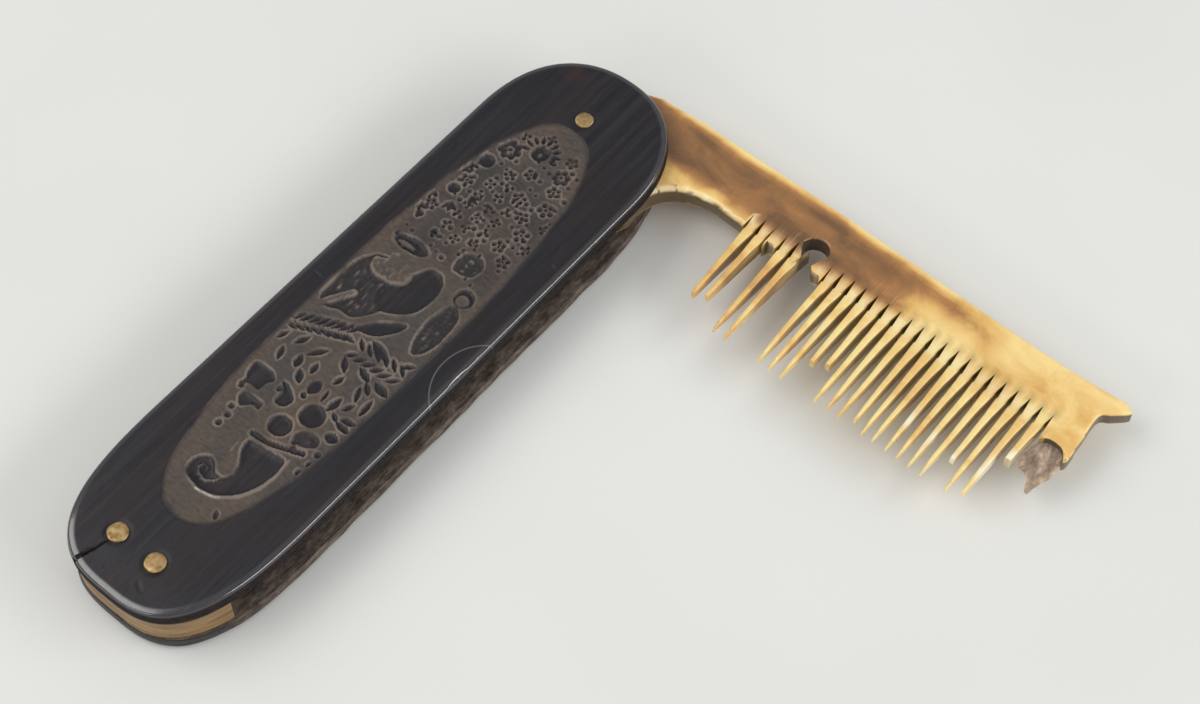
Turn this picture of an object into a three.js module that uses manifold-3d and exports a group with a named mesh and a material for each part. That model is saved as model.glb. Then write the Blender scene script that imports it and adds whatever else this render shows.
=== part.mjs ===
// Folding pocket comb: a horn comb that swings out of a case of two wooden plates.
//
// Millimetres, +Z up. The origin is the middle of the case's flat underside. +X runs along the
// case from the butt, where the plates are closed by a horn spacer, towards the pivot. The comb
// stands open at a right angle to the case, towards -Y, with its teeth pointing along -X, and
// folds shut by turning clockwise, seen from above, about the pivot rivet.

import * as THREE from 'three';
import { mergeVertices } from 'three/addons/utils/BufferGeometryUtils.js';
import Module from 'manifold-3d';

const wasm = await Module();
wasm.setup();

// ---------------------------------------------------------------- driving dimensions

const CASE_LENGTH = 115;
const PLATE_THICKNESS = 2.9;
const SLOT_HEIGHT = 5;
const EDGE_ROUND = 1.2;              // radius worked onto each plate's outer edge

// Each plate is straight-sided, with a superellipse nose at both ends:
// where the nose starts, counted from the plate's end, and how square it is.
const TOP_PLATE = { halfWidth: 15.5, buttNose: 28.2, buttPower: 3, pivotNose: 18.5, pivotPower: 2.23 };
const BOTTOM_PLATE = { halfWidth: 15.8, buttNose: 28.2, buttPower: 3, pivotNose: 27, pivotPower: 2.3 };

const PIVOT = { x: 46.5, y: 0.5 };
const BUTT_RIVET_X = -50;
const BUTT_RIVET_Y = { left: 4.4, right: -3.0 };
const BUTT_RIVET = { shank: 1.4, head: 1.6 };
const PIVOT_RIVET = { shank: 1.3, head: 1.45 };
const HEAD_RISE = 0.25;              // how far a peened head stands above the top plate
const RIVET_CLEARANCE = 0.1;         // round the shank in the plates and the spacer
const COMB_CLEARANCE = 0.3;          // round the shank in the comb, which turns on it
const COUNTERSINK = { radius: 2.2, depth: 0.9 };

// Sunk oval panel of the top plate, with its carving left standing inside it
const PANEL = { x: 0.4, y: 0.3, halfLength: 43.6, halfWidth: 10.8, power: 2.6, depth: 0.9 };
const RELIEF_BELOW_FACE = 0.12;      // the carving's high points lie just under the plate's face

const SPACER_X = -46.6;              // the spacer's straight inner edge
const TIP_CLEARANCE = 0.3;           // between that corner and the hollow in the spacer

// Comb, in its own plan frame: u runs out from the pivot, v towards the spine
const TEETH = { count: 26, first: 30.8, pitch: 2.125, slotRoot: 5.2, slotMouth: 2.2, tip: -14.6 };
const TOOTH_HALF_WIDTH = [[5.2, 1.0], [2.2, 0.82], [-5, 0.6], [-11, 0.38], [-14.6, 0.12]];
const MISSING_TEETH = [2, 5, 6];
const BROKEN_TOOTH_TIPS = { 0: -11.6, 1: -10.7, 10: -9.8, 11: -8.8, 15: -13.6, 22: -9.9, 24: -13.4, 25: -5.1 };
const TANG_CORNER = [5.4, 13.2];     // where the spine meets the rounded tang
const FAR_CORNER = [93.4, 13.0];     // the point of the fish tail, furthest from the pivot
const BITE = { u: 40.9, v: 5.8, radius: 2.15 };     // round hole at the root of two lost teeth
const COMB_THICKNESS = [[-12, 4.6], [13, 4.6], [24, 3.9], [60, 3.2], [95, 2.7]];
const TOOTH_TIP_THICKNESS = 1.0;

const SLOT_FLOOR = PLATE_THICKNESS;
const SLOT_CEILING = SLOT_FLOOR + SLOT_HEIGHT;
const TOP_FACE = SLOT_CEILING + PLATE_THICKNESS;
const COMB_MID = (SLOT_FLOOR + SLOT_CEILING) / 2;

// ---------------------------------------------------------------- shapes and solids

const point = (x, y) => new THREE.Vector2(x, y);

/** A closed mesh made a manifold solid, so that it can be joined and cut. */
function solid(geometry) {
  const bare = geometry.clone();
  bare.deleteAttribute('normal');
  bare.deleteAttribute('uv');
  const merged = mergeVertices(bare, 1e-4);
  return new wasm.Manifold(new wasm.Mesh({
    numProp: 3,
    vertProperties: new Float32Array(merged.attributes.position.array),
    triVerts: new Uint32Array(merged.index.array),
  }));
}

/** The solid back as a geometry that a mesh can hold. */
function geometryOf(manifold) {
  const { vertProperties, triVerts } = manifold.getMesh();
  const geometry = new THREE.BufferGeometry();
  geometry.setAttribute('position', new THREE.BufferAttribute(new Float32Array(vertProperties), 3));
  geometry.setIndex(new THREE.BufferAttribute(new Uint32Array(triVerts), 1));
  geometry.computeVertexNormals();
  return geometry;
}

/** An outline raised straight up from one height to another. */
function prism(outline, low, high) {
  const shape = outline instanceof THREE.Shape ? outline : new THREE.Shape(outline);
  const geometry = new THREE.ExtrudeGeometry(shape, { depth: high - low, bevelEnabled: false });
  return solid(geometry.translate(0, 0, low));
}

/** The same with both rims rounded, inside the outline. */
function roundedPrism(outline, low, high, radius) {
  const geometry = new THREE.ExtrudeGeometry(new THREE.Shape(outline), {
    depth: high - low - 2 * radius,
    bevelSize: radius,
    bevelOffset: -radius,
    bevelThickness: radius,
    bevelSegments: 4,
  });
  return solid(geometry.translate(0, 0, low + radius));
}

function box(lowX, lowY, lowZ, highX, highY, highZ) {
  const geometry = new THREE.BoxGeometry(highX - lowX, highY - lowY, highZ - lowZ);
  return solid(geometry.translate((lowX + highX) / 2, (lowY + highY) / 2, (lowZ + highZ) / 2));
}

/** A turned solid about an upright axis at x, y, from its radius and height pairs. */
function turned(profile, x, y, sides = 32) {
  const geometry = new THREE.LatheGeometry(profile.map(([r, z]) => point(r, z)), sides);
  return solid(geometry.rotateX(Math.PI / 2).translate(x, y, 0));
}

function hole(x, y, radius) {
  return turned([[0, -1], [radius, -1], [radius, TOP_FACE + 1], [0, TOP_FACE + 1]], x, y);
}

const corner = (value, power) => Math.sign(value) * Math.abs(value) ** (2 / power);

/** A plate seen from above, counter-clockwise. */
function plateOutline(plate) {
  const steps = 14;
  const half = CASE_LENGTH / 2;
  const points = [];
  const nose = (sign, length, power) => {
    for (let i = 0; i <= 2 * steps; i++) {
      const angle = ((i / steps - 1) * Math.PI) / 2;
      const x = half - length + length * corner(Math.cos(angle), power);
      points.push(point(sign * x, sign * plate.halfWidth * corner(Math.sin(angle), power)));
    }
  };
  nose(1, plate.pivotNose, plate.pivotPower);
  nose(-1, plate.buttNose, plate.buttPower);
  return points;
}

/** A value that runs straight between the given stations. */
function along(stations, at) {
  const next = stations.findIndex(([s]) => (stations[0][0] < stations.at(-1)[0] ? s >= at : s <= at));
  if (next < 0) return stations.at(-1)[1];
  if (next === 0) return stations[0][1];
  const [[s0, v0], [s1, v1]] = [stations[next - 1], stations[next]];
  return v0 + ((v1 - v0) * (at - s0)) / (s1 - s0);
}

// ---------------------------------------------------------------- carving of the top plate

/** An ellipse, or with pointed set a leaf, turned by angle degrees. */
function lens(x, y, length, width, angle, pointed = true) {
  const sides = 16;
  const turn = THREE.MathUtils.degToRad(angle);
  return Array.from({ length: sides }, (_, i) => {
    const t = (i / sides) * 2 * Math.PI;
    const across = pointed ? Math.sin(t) * Math.abs(Math.sin(t)) : Math.sin(t);
    const [a, b] = [(length / 2) * Math.cos(t), (width / 2) * across];
    return point(x + a * Math.cos(turn) - b * Math.sin(turn), y + a * Math.sin(turn) + b * Math.cos(turn));
  });
}

/** Leaves in pairs along a stem. */
function spray(x, y, heading, pairs, spacing, leafLength) {
  const dir = THREE.MathUtils.degToRad(heading);
  const leaves = [lens(x, y, (pairs + 1) * spacing, 0.6, heading, false)];
  for (let i = 0; i < pairs; i++) {
    const step = (i - (pairs - 1) / 2) * spacing;
    for (const side of [-1, 1]) {
      const lean = dir + side * 0.75;
      const reach = leafLength / 2;
      const [cx, cy] = [x + step * Math.cos(dir), y + step * Math.sin(dir)];
      const angle = THREE.MathUtils.radToDeg(lean);
      leaves.push(lens(cx + reach * Math.cos(lean), cy + reach * Math.sin(lean), leafLength, 1.1, angle));
    }
  }
  return leaves;
}

/** Horn of plenty at the butt end of the panel, curled tip first. */
function hornOfPlenty() {
  const rim = [[-33.4, 2.8], [-36.2, 3.4], [-38.1, 1.4], [-37.2, -1.6], [-34.8, -3.9], [-31.6, -5.3],
    [-28, -5.8], [-25, -7.6]];
  const throat = [[-25.8, -3], [-26.6, 1.6], [-29.6, -0.3], [-32.8, -0.9], [-34.2, 0.6]];
  const shape = new THREE.Shape([point(...rim[0])]);
  shape.splineThru(rim.slice(1).map(([x, y]) => point(x, y)));
  shape.splineThru(throat.map(([x, y]) => point(x, y)));
  return shape;
}

/** Fruit and flowers packed into the pivot end of the panel, in staggered rows. */
function flowerBed() {
  const flowers = [];
  for (let row = 0; row < 4; row++) {
    for (let i = 0; i < 7; i++) {
      const x = 16 + 3.9 * i + (row % 2) * 1.9;
      const y = PANEL.y + (row - 1.5) * 3.9;
      flowers.push(lens(x, y, 2.3, 2.0, 40 * i, false));
    }
  }
  return flowers;
}

function carving() {
  return [
    hornOfPlenty(),
    lens(-22.7, -0.9, 2.6, 2.6, 0, false),
    lens(-18.7, -3.4, 2.9, 2.7, 0, false),
    lens(-18.7, 2.2, 4.4, 2.0, 65),
    ...spray(-14.2, -6.6, 12, 3, 1.9, 2.6),
    ...spray(-8.6, 5.2, 112, 4, 1.9, 2.8),
    ...spray(-6.2, -4.6, 250, 3, 1.9, 2.8),
    lens(3.6, 0.2, 10.5, 5.2, 18, false),
    lens(9.6, 4.6, 6.4, 4.6, 110, false),
    lens(-0.6, 6.9, 11, 3.2, 28),
    lens(4.4, -7.9, 10, 3.2, 14, false),
    lens(10.6, -6.4, 1.9, 1.9, 0, false),
    ...flowerBed(),
  ];
}

// ---------------------------------------------------------------- pieces of the case

function topScale() {
  const plate = roundedPrism(plateOutline(TOP_PLATE), SLOT_CEILING - 2 * EDGE_ROUND, TOP_FACE, EDGE_ROUND);
  const sides = 64;
  const oval = Array.from({ length: sides }, (_, i) => {
    const t = (i / sides) * 2 * Math.PI;
    return point(
      PANEL.x + PANEL.halfLength * corner(Math.cos(t), PANEL.power),
      PANEL.y + PANEL.halfWidth * corner(Math.sin(t), PANEL.power),
    );
  });
  let scale = plate
    .subtract(box(-CASE_LENGTH, -CASE_LENGTH, 0, CASE_LENGTH, CASE_LENGTH, SLOT_CEILING))
    .subtract(prism(oval, TOP_FACE - PANEL.depth, TOP_FACE + 1));
  for (const outline of carving()) {
    scale = scale.add(prism(outline, TOP_FACE - PANEL.depth - 0.5, TOP_FACE - RELIEF_BELOW_FACE));
  }
  return drilled(scale);
}

function bottomScale() {
  const plate = roundedPrism(plateOutline(BOTTOM_PLATE), 0, SLOT_FLOOR + 2 * EDGE_ROUND, EDGE_ROUND)
    .subtract(box(-CASE_LENGTH, -CASE_LENGTH, SLOT_FLOOR, CASE_LENGTH, CASE_LENGTH, CASE_LENGTH));
  const { radius, depth } = COUNTERSINK;
  const cone = [[0, -1], [radius, -1], [radius, 0], [BUTT_RIVET.shank, depth], [0, depth]];
  return rivetPlaces().reduce((scale, { x, y }) => scale.subtract(turned(cone, x, y)), drilled(plate));
}

function rivetPlaces() {
  return [
    { x: BUTT_RIVET_X, y: BUTT_RIVET_Y.left, ...BUTT_RIVET },
    { x: BUTT_RIVET_X, y: BUTT_RIVET_Y.right, ...BUTT_RIVET },
    { x: PIVOT.x, y: PIVOT.y, ...PIVOT_RIVET },
  ];
}

function drilled(piece) {
  return rivetPlaces().reduce((left, { x, y, shank }) => left.subtract(hole(x, y, shank + RIVET_CLEARANCE)), piece);
}

/** Horn block that closes the butt: it follows the case's nose, and its inner edge is straight
 *  but for a hollow, struck from the pivot, that takes the comb's far corner and stops it. */
function buttSpacer() {
  const nose = prism(plateOutline(TOP_PLATE), SLOT_FLOOR, SLOT_CEILING);
  const kept = box(-CASE_LENGTH, -CASE_LENGTH, -1, SPACER_X, CASE_LENGTH, CASE_LENGTH);
  const reach = Math.hypot(...FAR_CORNER) + TIP_CLEARANCE;
  const swept = turned([[0, 0], [reach, 0], [reach, TOP_FACE], [0, TOP_FACE]], PIVOT.x, PIVOT.y, 360);
  const cornerSide = box(-CASE_LENGTH, -CASE_LENGTH, -1, 0, PIVOT.y - 9.5, CASE_LENGTH);
  return drilled(nose.intersect(kept).subtract(swept.intersect(cornerSide)));
}

function rivet({ x, y, shank, head }) {
  const { radius, depth } = COUNTERSINK;
  const bottom = 0.1;
  const dome = 5;
  const profile = [
    [0, bottom],
    [radius - 0.3, bottom],
    [shank, depth],
    [shank, TOP_FACE],
    [head, TOP_FACE],
  ];
  for (let i = 1; i <= dome; i++) {
    const angle = (i / dome) * (Math.PI / 2);
    const r = i === dome ? 0 : head * Math.cos(angle);
    profile.push([r, TOP_FACE + HEAD_RISE * Math.sin(angle)]);
  }
  return turned(profile, x, y);
}

// ---------------------------------------------------------------- comb

/** One tooth, from its far side round its tip to its near side. */
function toothOutline(index) {
  const u = TEETH.first + TEETH.pitch * index;
  const tip = BROKEN_TOOTH_TIPS[index] ?? TEETH.tip;
  const stations = TOOTH_HALF_WIDTH.map(([v]) => v).filter((v) => v > tip + 0.5);
  stations.push(tip);
  const far = stations.map((v) => point(u + along(TOOTH_HALF_WIDTH, v), v));
  const near = stations.map((v) => point(u - along(TOOTH_HALF_WIDTH, v), v)).reverse();
  return [...far, ...near];
}

/** Ragged edge where the third tooth is lost. */
function lostThirdTooth() {
  return [[35.9, 2.1], [35.2, 2.7], [34.3, 2.5], [34.1, 1.2]].map(([u, v]) => point(u, v));
}

/** Where the sixth and seventh teeth are lost, a crack opens into a round hole in the blade. */
function lostPair() {
  const points = [[44.6, 1.6], [44.0, 2.6], [42.8, 2.4], [42.1, 3.1]].map(([u, v]) => point(u, v));
  const [start, end] = [-42, 228];
  const steps = 14;
  for (let i = 0; i <= steps; i++) {
    const angle = THREE.MathUtils.degToRad(start + ((end - start) * i) / steps);
    points.push(point(BITE.u + BITE.radius * Math.cos(angle), BITE.v + BITE.radius * Math.sin(angle)));
  }
  points.push(point(40.0, 3.3), point(39.95, 2.3));
  return points;
}

/** The comb's plan in u, v: spine, fish-tail end, teeth, hollow heel and round tang. */
function combOutline() {
  const shape = new THREE.Shape([point(...TANG_CORNER)]);
  const curve = (points) => shape.splineThru(points.map(([u, v]) => point(u, v)));
  curve([[24, 13.7], [45, 13.7], [67, 13.2], [84, 13.2], [91.8, 13.8]]);
  curve([FAR_CORNER, [93.2, 12.2], [91.5, 10.6], [90.1, 9.2], [90.3, 5]]);
  curve([[90.7, 0.5], [90.3, -0.6]]);
  curve([[89.3, 1.0], [88, 1.5], [86.5, 1.4], [85.4, 0.6]]);
  for (let index = TEETH.count - 1; index >= 0; index--) {
    if (index === 2) lostThirdTooth().forEach(({ x, y }) => shape.lineTo(x, y));
    if (index === 6) lostPair().forEach(({ x, y }) => shape.lineTo(x, y));
    if (!MISSING_TEETH.includes(index)) toothOutline(index).forEach(({ x, y }) => shape.lineTo(x, y));
  }
  shape.lineTo(29.6, 2.5);
  curve([[27.9, 2.6], [24.2, 2.7], [20.8, 2.3], [17.8, 0.9], [15.8, -1.2], [14.9, -3.8], [15.0, -7.3]]);
  curve([[13.4, -10.6], [10, -12.8], [5, -13.6], [-1, -12.4], [-6, -9.4], [-9.2, -5.2]]);
  curve([[-10.2, 0.3], [-8.8, 6.0], [-5, 9.3], [0.5, 11.4], TANG_CORNER]);
  return shape;
}

/** A profile in u, z or v, z pushed along the other plan direction. */
function sideways(outline, alongU) {
  const geometry = new THREE.ExtrudeGeometry(new THREE.Shape(outline), { depth: 300, bevelEnabled: false });
  geometry.translate(0, 0, -150).rotateX(Math.PI / 2);
  return solid(alongU ? geometry.rotateZ(Math.PI / 2) : geometry);
}

/** The comb about its pivot, in u, v, z, then turned to stand out towards -Y. */
function comb() {
  const thickest = COMB_THICKNESS[0][1];
  const plan = prism(combOutline(), -thickest / 2, thickest / 2);

  // thick at the tang, to fill the slot, and thinner towards the far end
  const upper = COMB_THICKNESS.map(([u, t]) => point(u, t / 2));
  const lower = COMB_THICKNESS.map(([u, t]) => point(u, -t / 2)).reverse();
  const taper = sideways([...upper, ...lower], false);

  // each face of the teeth planed down towards their points
  const root = TEETH.slotMouth;
  const rootHalf = COMB_THICKNESS[2][1] / 2;
  const tipHalf = TOOTH_TIP_THICKNESS / 2;
  const planed = [point(-16, tipHalf), point(root, rootHalf), point(root, 4), point(-16, 4)];
  const teethOnly = box(28.5, -20, -5, 100, 20, 5);
  const above = sideways(planed, true).intersect(teethOnly);
  const below = sideways(planed.map(({ x, y }) => point(x, -y)), true).intersect(teethOnly);

  const pivotHole = turned([[0, -5], [1, -5], [1, 5], [0, 5]].map(([r, z]) => [r * pivotBore(), z]), 0, 0);
  const blade = plan.intersect(taper).subtract(above).subtract(below).subtract(pivotHole);
  const geometry = geometryOf(blade);
  geometry.rotateZ(-Math.PI / 2);
  return geometry;
}

function pivotBore() {
  return PIVOT_RIVET.shank + COMB_CLEARANCE;
}

// ---------------------------------------------------------------- finishes and assembly

const FINISHES = {
  carvedWood: { color: 0x241f20, roughness: 0.42, metalness: 0 },
  roughWood: { color: 0x4a3628, roughness: 0.7, metalness: 0 },
  horn: { color: 0xc99a45, roughness: 0.35, metalness: 0 },
  brass: { color: 0xc9a24e, roughness: 0.4, metalness: 1 },
};

const pocketComb = new THREE.Group();

function addPiece(name, geometry, finish, x = 0, y = 0, z = 0) {
  const mesh = new THREE.Mesh(geometry, new THREE.MeshStandardMaterial(FINISHES[finish]));
  mesh.name = name;
  mesh.position.set(x, y, z);
  pocketComb.add(mesh);
}

const [leftButt, rightButt, pivot] = rivetPlaces();
addPiece('bottom_scale', geometryOf(bottomScale()), 'roughWood');
addPiece('top_scale', geometryOf(topScale()), 'carvedWood');
addPiece('butt_spacer', geometryOf(buttSpacer()), 'horn');
addPiece('comb', comb(), 'horn', PIVOT.x, PIVOT.y, COMB_MID);
addPiece('pivot_rivet', geometryOf(rivet(pivot)), 'brass');
addPiece('butt_rivet_left', geometryOf(rivet(leftButt)), 'brass');
addPiece('butt_rivet_right', geometryOf(rivet(rightButt)), 'brass');

export default pocketComb;
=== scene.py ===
# %% [markdown]
# # A folding pocket comb
#
# The real object is a fine-toothed comb cut from one plate of horn. It folds like a pocket knife
# into a case: two thin plates of dark wood, a block of horn between them at the butt end, and
# three brass rivets. One wooden plate is carved with a sunk oval full of fruit and flowers.
#
# Each cell below makes one piece or one finish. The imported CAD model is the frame: it says where
# everything is, and which body each piece moves with.

# %% Load the frame
import math

import bmesh
import bpy
import numpy as np
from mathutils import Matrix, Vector


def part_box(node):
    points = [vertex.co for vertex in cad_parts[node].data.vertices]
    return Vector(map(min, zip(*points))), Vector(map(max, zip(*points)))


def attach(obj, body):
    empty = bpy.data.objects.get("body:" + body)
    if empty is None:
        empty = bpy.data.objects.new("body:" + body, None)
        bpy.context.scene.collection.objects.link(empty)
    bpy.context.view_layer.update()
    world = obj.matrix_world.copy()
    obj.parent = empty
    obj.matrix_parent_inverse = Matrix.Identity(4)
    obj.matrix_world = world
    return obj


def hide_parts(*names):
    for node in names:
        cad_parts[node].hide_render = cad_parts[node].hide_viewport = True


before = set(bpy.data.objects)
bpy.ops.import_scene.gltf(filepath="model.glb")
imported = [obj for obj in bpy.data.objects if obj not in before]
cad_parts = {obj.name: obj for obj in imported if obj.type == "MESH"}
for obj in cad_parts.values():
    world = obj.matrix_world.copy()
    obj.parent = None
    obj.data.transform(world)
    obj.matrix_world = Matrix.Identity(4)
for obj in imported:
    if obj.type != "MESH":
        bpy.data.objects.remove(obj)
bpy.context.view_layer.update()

MM = 0.001
print("frame:", ", ".join(sorted(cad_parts)))

# %% [markdown]
# ## A few habits
#
# Blender's operators act on whatever is selected, and the frame's own pieces start out selected,
# so `only` leaves one piece selected. Work on many corners at once goes through numpy: `points`
# hands them over in millimetres and `set_points` puts them back.

# %% Helpers for selecting and for moving corners
def only(*objects):
    bpy.ops.object.select_all(action="DESELECT")
    for each in objects:
        each.select_set(True)
    bpy.context.view_layer.objects.active = objects[0]
    return objects[0]


def points(piece):
    flat = np.empty(len(piece.data.vertices) * 3)
    piece.data.vertices.foreach_get("co", flat)
    return flat.reshape(-1, 3) / MM


def set_points(piece, xyz):
    piece.data.vertices.foreach_set("co", (xyz * MM).ravel())
    piece.data.update()


def selected(piece):
    """Which corners the last edit-mode operator left selected."""
    flags = np.zeros(len(piece.data.vertices), dtype=bool)
    piece.data.vertices.foreach_get("select", flags)
    return flags


def write(piece, name, values):
    """Keeps one number per corner on the mesh, for a material to read."""
    kept = piece.data.attributes.get(name) or piece.data.attributes.new(name, "FLOAT", "POINT")
    kept.data.foreach_set("value", np.asarray(values, dtype=np.float32))


def read(piece, name):
    flat = np.empty(len(piece.data.vertices), dtype=np.float32)
    piece.data.attributes[name].data.foreach_get("value", flat)
    return flat


def edit(piece, kind="VERT"):
    only(piece)
    bpy.ops.object.mode_set(mode="EDIT")
    bpy.ops.mesh.select_mode(type=kind)
    bpy.ops.mesh.select_all(action="DESELECT")


def leave_edit():
    bpy.ops.object.mode_set(mode="OBJECT")


def smooth(piece, angle):
    only(piece)
    bpy.ops.object.shade_smooth_by_angle(angle=math.radians(angle))


def report(piece):
    piece.data.calc_loop_triangles()
    low, high = points(piece).min(0), points(piece).max(0)
    size = " x ".join(f"{s:.1f}" for s in high - low)
    print(f"{piece.name}: {len(piece.data.loop_triangles)} triangles, {size} mm")


# %% [markdown]
# ## Hills for hand work
#
# Nothing here was made by a machine, so no surface is quite flat. `hills` gives smooth random
# heights between -1 and 1 that are `size` mm across, and can be drawn out along x, as grain is.
# The seed is fixed, so every run makes the same piece.

# %% Smooth random heights
HILL_TABLE = 256


def ease(t):
    t = np.clip(t, 0, 1)
    return t * t * (3 - 2 * t)


def hills(x, y, size, seed, stretch=1.0):
    table = np.random.default_rng(seed).uniform(-1, 1, (HILL_TABLE, HILL_TABLE))
    across, up = x / (size * stretch), y / size
    i, j = np.floor(across).astype(int), np.floor(up).astype(int)
    u, v = ease(across - i), ease(up - j)

    def at(a, b):
        return table[a % HILL_TABLE, b % HILL_TABLE]

    near = at(i, j) * (1 - u) + at(i + 1, j) * u
    far = at(i, j + 1) * (1 - u) + at(i + 1, j + 1) * u
    return near * (1 - v) + far * v


# %% [markdown]
# ## Camera, floor and light
#
# The comb lies on a plain pale table and is seen from well above, with a long lens. The main
# light is wide and soft, overhead and a little behind, so shadows fall softly towards the viewer.
# A long narrow one in front draws the thin bright line along the polished edges, and a weak one
# at the side does the same for the butt. A single light would leave the dark wood without shape.

# %% Camera
bpy.ops.object.camera_add(
    location=[mm * MM for mm in (-124.78, -145.55, 309.33)],
    rotation=[math.radians(a) for a in (31.5, 0, -50.167)])
camera = bpy.context.object
camera.name = "camera"
camera.data.lens, camera.data.sensor_width = 72, 36
camera.data.clip_start, camera.data.clip_end = 0.01, 5
bpy.context.scene.camera = camera
bpy.context.scene.view_settings.view_transform = "Standard"

# %% Floor
bpy.ops.mesh.primitive_plane_add(size=4)
floor = bpy.context.object
floor.name = "floor"

# %% Lights
def soft_light(name, place, aim, width, height, watts, tint):
    bpy.ops.object.light_add(type="AREA", location=place)
    light = bpy.context.object
    light.name = name
    light.data.shape, light.data.size, light.data.size_y = "RECTANGLE", width, height
    light.data.energy, light.data.color = watts, tint
    light.rotation_euler = (Vector(aim) - Vector(place)).to_track_quat("-Z", "Y").to_euler()
    return light


middle = Vector((0.0, -0.02, 0.0))
soft_light("overhead", (-0.36, 0.50, 0.80), middle, 0.8, 0.7, 4.6, (1.0, 0.985, 0.96))
soft_light("front", (0.30, -0.82, 0.46), middle, 0.9, 0.26, 5.2, (0.97, 0.985, 1.0))
soft_light("side", (-0.82, 0.10, 0.44), middle, 0.5, 0.16, 1.2, (0.97, 0.985, 1.0))

world = bpy.data.worlds.new("room")
bpy.context.scene.world = world
world.use_nodes = True
room = world.node_tree.nodes["Background"]
room.inputs["Color"].default_value = (0.93, 0.96, 1.0, 1)
room.inputs["Strength"].default_value = 0.5
print("camera, floor, three lights and a pale room")

# %% [markdown]
# ## The two wooden plates
#
# Each plate was sawn from a thin board, cut round at both ends, and rubbed smooth. The plain
# plate's outer edge is fully rounded, and the carved plate's is crisper: a small flat, then a
# tight round. A slab with a bevel would be quicker, but the carving needs corners close together,
# so a grid of fine squares is laid over the plate's outline first. Its open edge is then extruded
# ring by ring: over the edge, down the side, and in across the back, where the last is filled.

# %% The plates' outlines
HALF_LENGTH = 57.5
EDGE_ROUND = 1.2
BACK_BREAK = 0.2                     # the sharp edge taken off round a plate's inner face
TOP = {"half_width": 15.5, "butt_nose": 28.2, "butt_power": 3.0,
       "pivot_nose": 18.5, "pivot_power": 2.23}
BOTTOM = {"half_width": 15.8, "butt_nose": 28.2, "butt_power": 3.0,
          "pivot_nose": 27.0, "pivot_power": 2.3}
TOP_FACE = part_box("top_scale")[1][2] / MM
SLOT_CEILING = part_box("top_scale")[0][2] / MM
SLOT_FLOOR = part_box("bottom_scale")[1][2] / MM
RIVETS = {"butt_rivet_left": (-50, 4.4), "butt_rivet_right": (-50, -3.0),
          "pivot_rivet": (46.5, 0.5)}


def on_plate(along, across, plate, inset):
    """A place on a square grid moved onto the plate: along in mm from the middle, across from
    -1 to 1, and the whole outline drawn in by inset. Both ends are superellipses."""
    butt = along < 0
    nose = np.where(butt, plate["butt_nose"], plate["pivot_nose"])
    power = np.where(butt, plate["butt_power"], plate["pivot_power"])
    t = np.clip((np.abs(along) - HALF_LENGTH + nose) / nose, 0, 1)
    reach = (nose - inset) * t * (1 - np.abs(across) ** power / 2) ** (1 / power)
    x = np.where(t > 0, np.sign(along) * (HALF_LENGTH - nose + reach), along)
    y = (plate["half_width"] - inset) * across * (1 - t ** power / 2) ** (1 / power)
    return x, y


def steps(*stations):
    """Places from the first station on, at each one's spacing until the next."""
    parts = []
    for (start, spacing), (end, _) in zip(stations, stations[1:]):
        parts.append(np.linspace(start, end, round((end - start) / spacing), endpoint=False))
    return np.append(np.concatenate(parts), stations[-1][0])


def lay_grid(name, plate, along, across_mm, face):
    """A flat sheet over the plate's face, drawn in by the round of its edge."""
    columns, rows = len(along) - 1, len(across_mm) - 1
    bpy.ops.mesh.primitive_grid_add(x_subdivisions=columns, y_subdivisions=rows, size=2)
    piece = bpy.context.object
    piece.name = piece.data.name = name
    unit = points(piece) * MM
    a = along[np.rint((unit[:, 0] + 1) / 2 * columns).astype(int)]
    b = across_mm[np.rint((unit[:, 1] + 1) / 2 * rows).astype(int)] / abs(across_mm[0])
    write(piece, "along", a)
    write(piece, "across", b)
    x, y = on_plate(a, b, plate, EDGE_ROUND)
    set_points(piece, np.stack([x, y, np.full_like(x, face)], 1))
    return piece


def draw_out(piece, plate, inset, z):
    """Extrudes the sheet's open edge to the next ring, at its own inset and height."""
    edit(piece)
    bpy.ops.mesh.select_non_manifold(extend=False)
    bpy.ops.mesh.extrude_region_move()
    leave_edit()
    ring = selected(piece)
    xyz = points(piece)
    x, y = on_plate(read(piece, "along")[ring], read(piece, "across")[ring], plate, inset)
    xyz[ring] = np.stack([x, y, np.full_like(x, z)], 1)
    set_points(piece, xyz)


def wrap_plate(piece, plate, face, back, back_rings, profile):
    """The rounded edge, the side and the back of a plate whose face is the open sheet."""
    towards = math.copysign(1, back - face)
    straight = abs(back - face) - BACK_BREAK - EDGE_ROUND
    for inset, drop in profile:
        draw_out(piece, plate, inset, face + towards * drop)
    for share in (0.35, 0.7, 1.0):
        draw_out(piece, plate, 0, face + towards * (EDGE_ROUND + share * straight))
    draw_out(piece, plate, 0.3 * BACK_BREAK, back - towards * 0.3 * BACK_BREAK)
    for inset in (BACK_BREAK, *back_rings):
        draw_out(piece, plate, inset, back)
    edit(piece, "EDGE")
    bpy.ops.mesh.select_non_manifold(extend=False)
    bpy.ops.mesh.edge_face_add()
    leave_edit()


# How far in from the outline, and how far down from the face, each ring of an edge lies.
CRISP = ((0.85, 0.02), (0.55, 0.06), (0.36, 0.13), (0.23, 0.25), (0.13, 0.45), (0.05, 0.8),
         (0, EDGE_ROUND))
ROUND = [(EDGE_ROUND * (1 - math.sin(math.radians(a))), EDGE_ROUND * (1 - math.cos(math.radians(a))))
         for a in range(15, 91, 15)]

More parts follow.
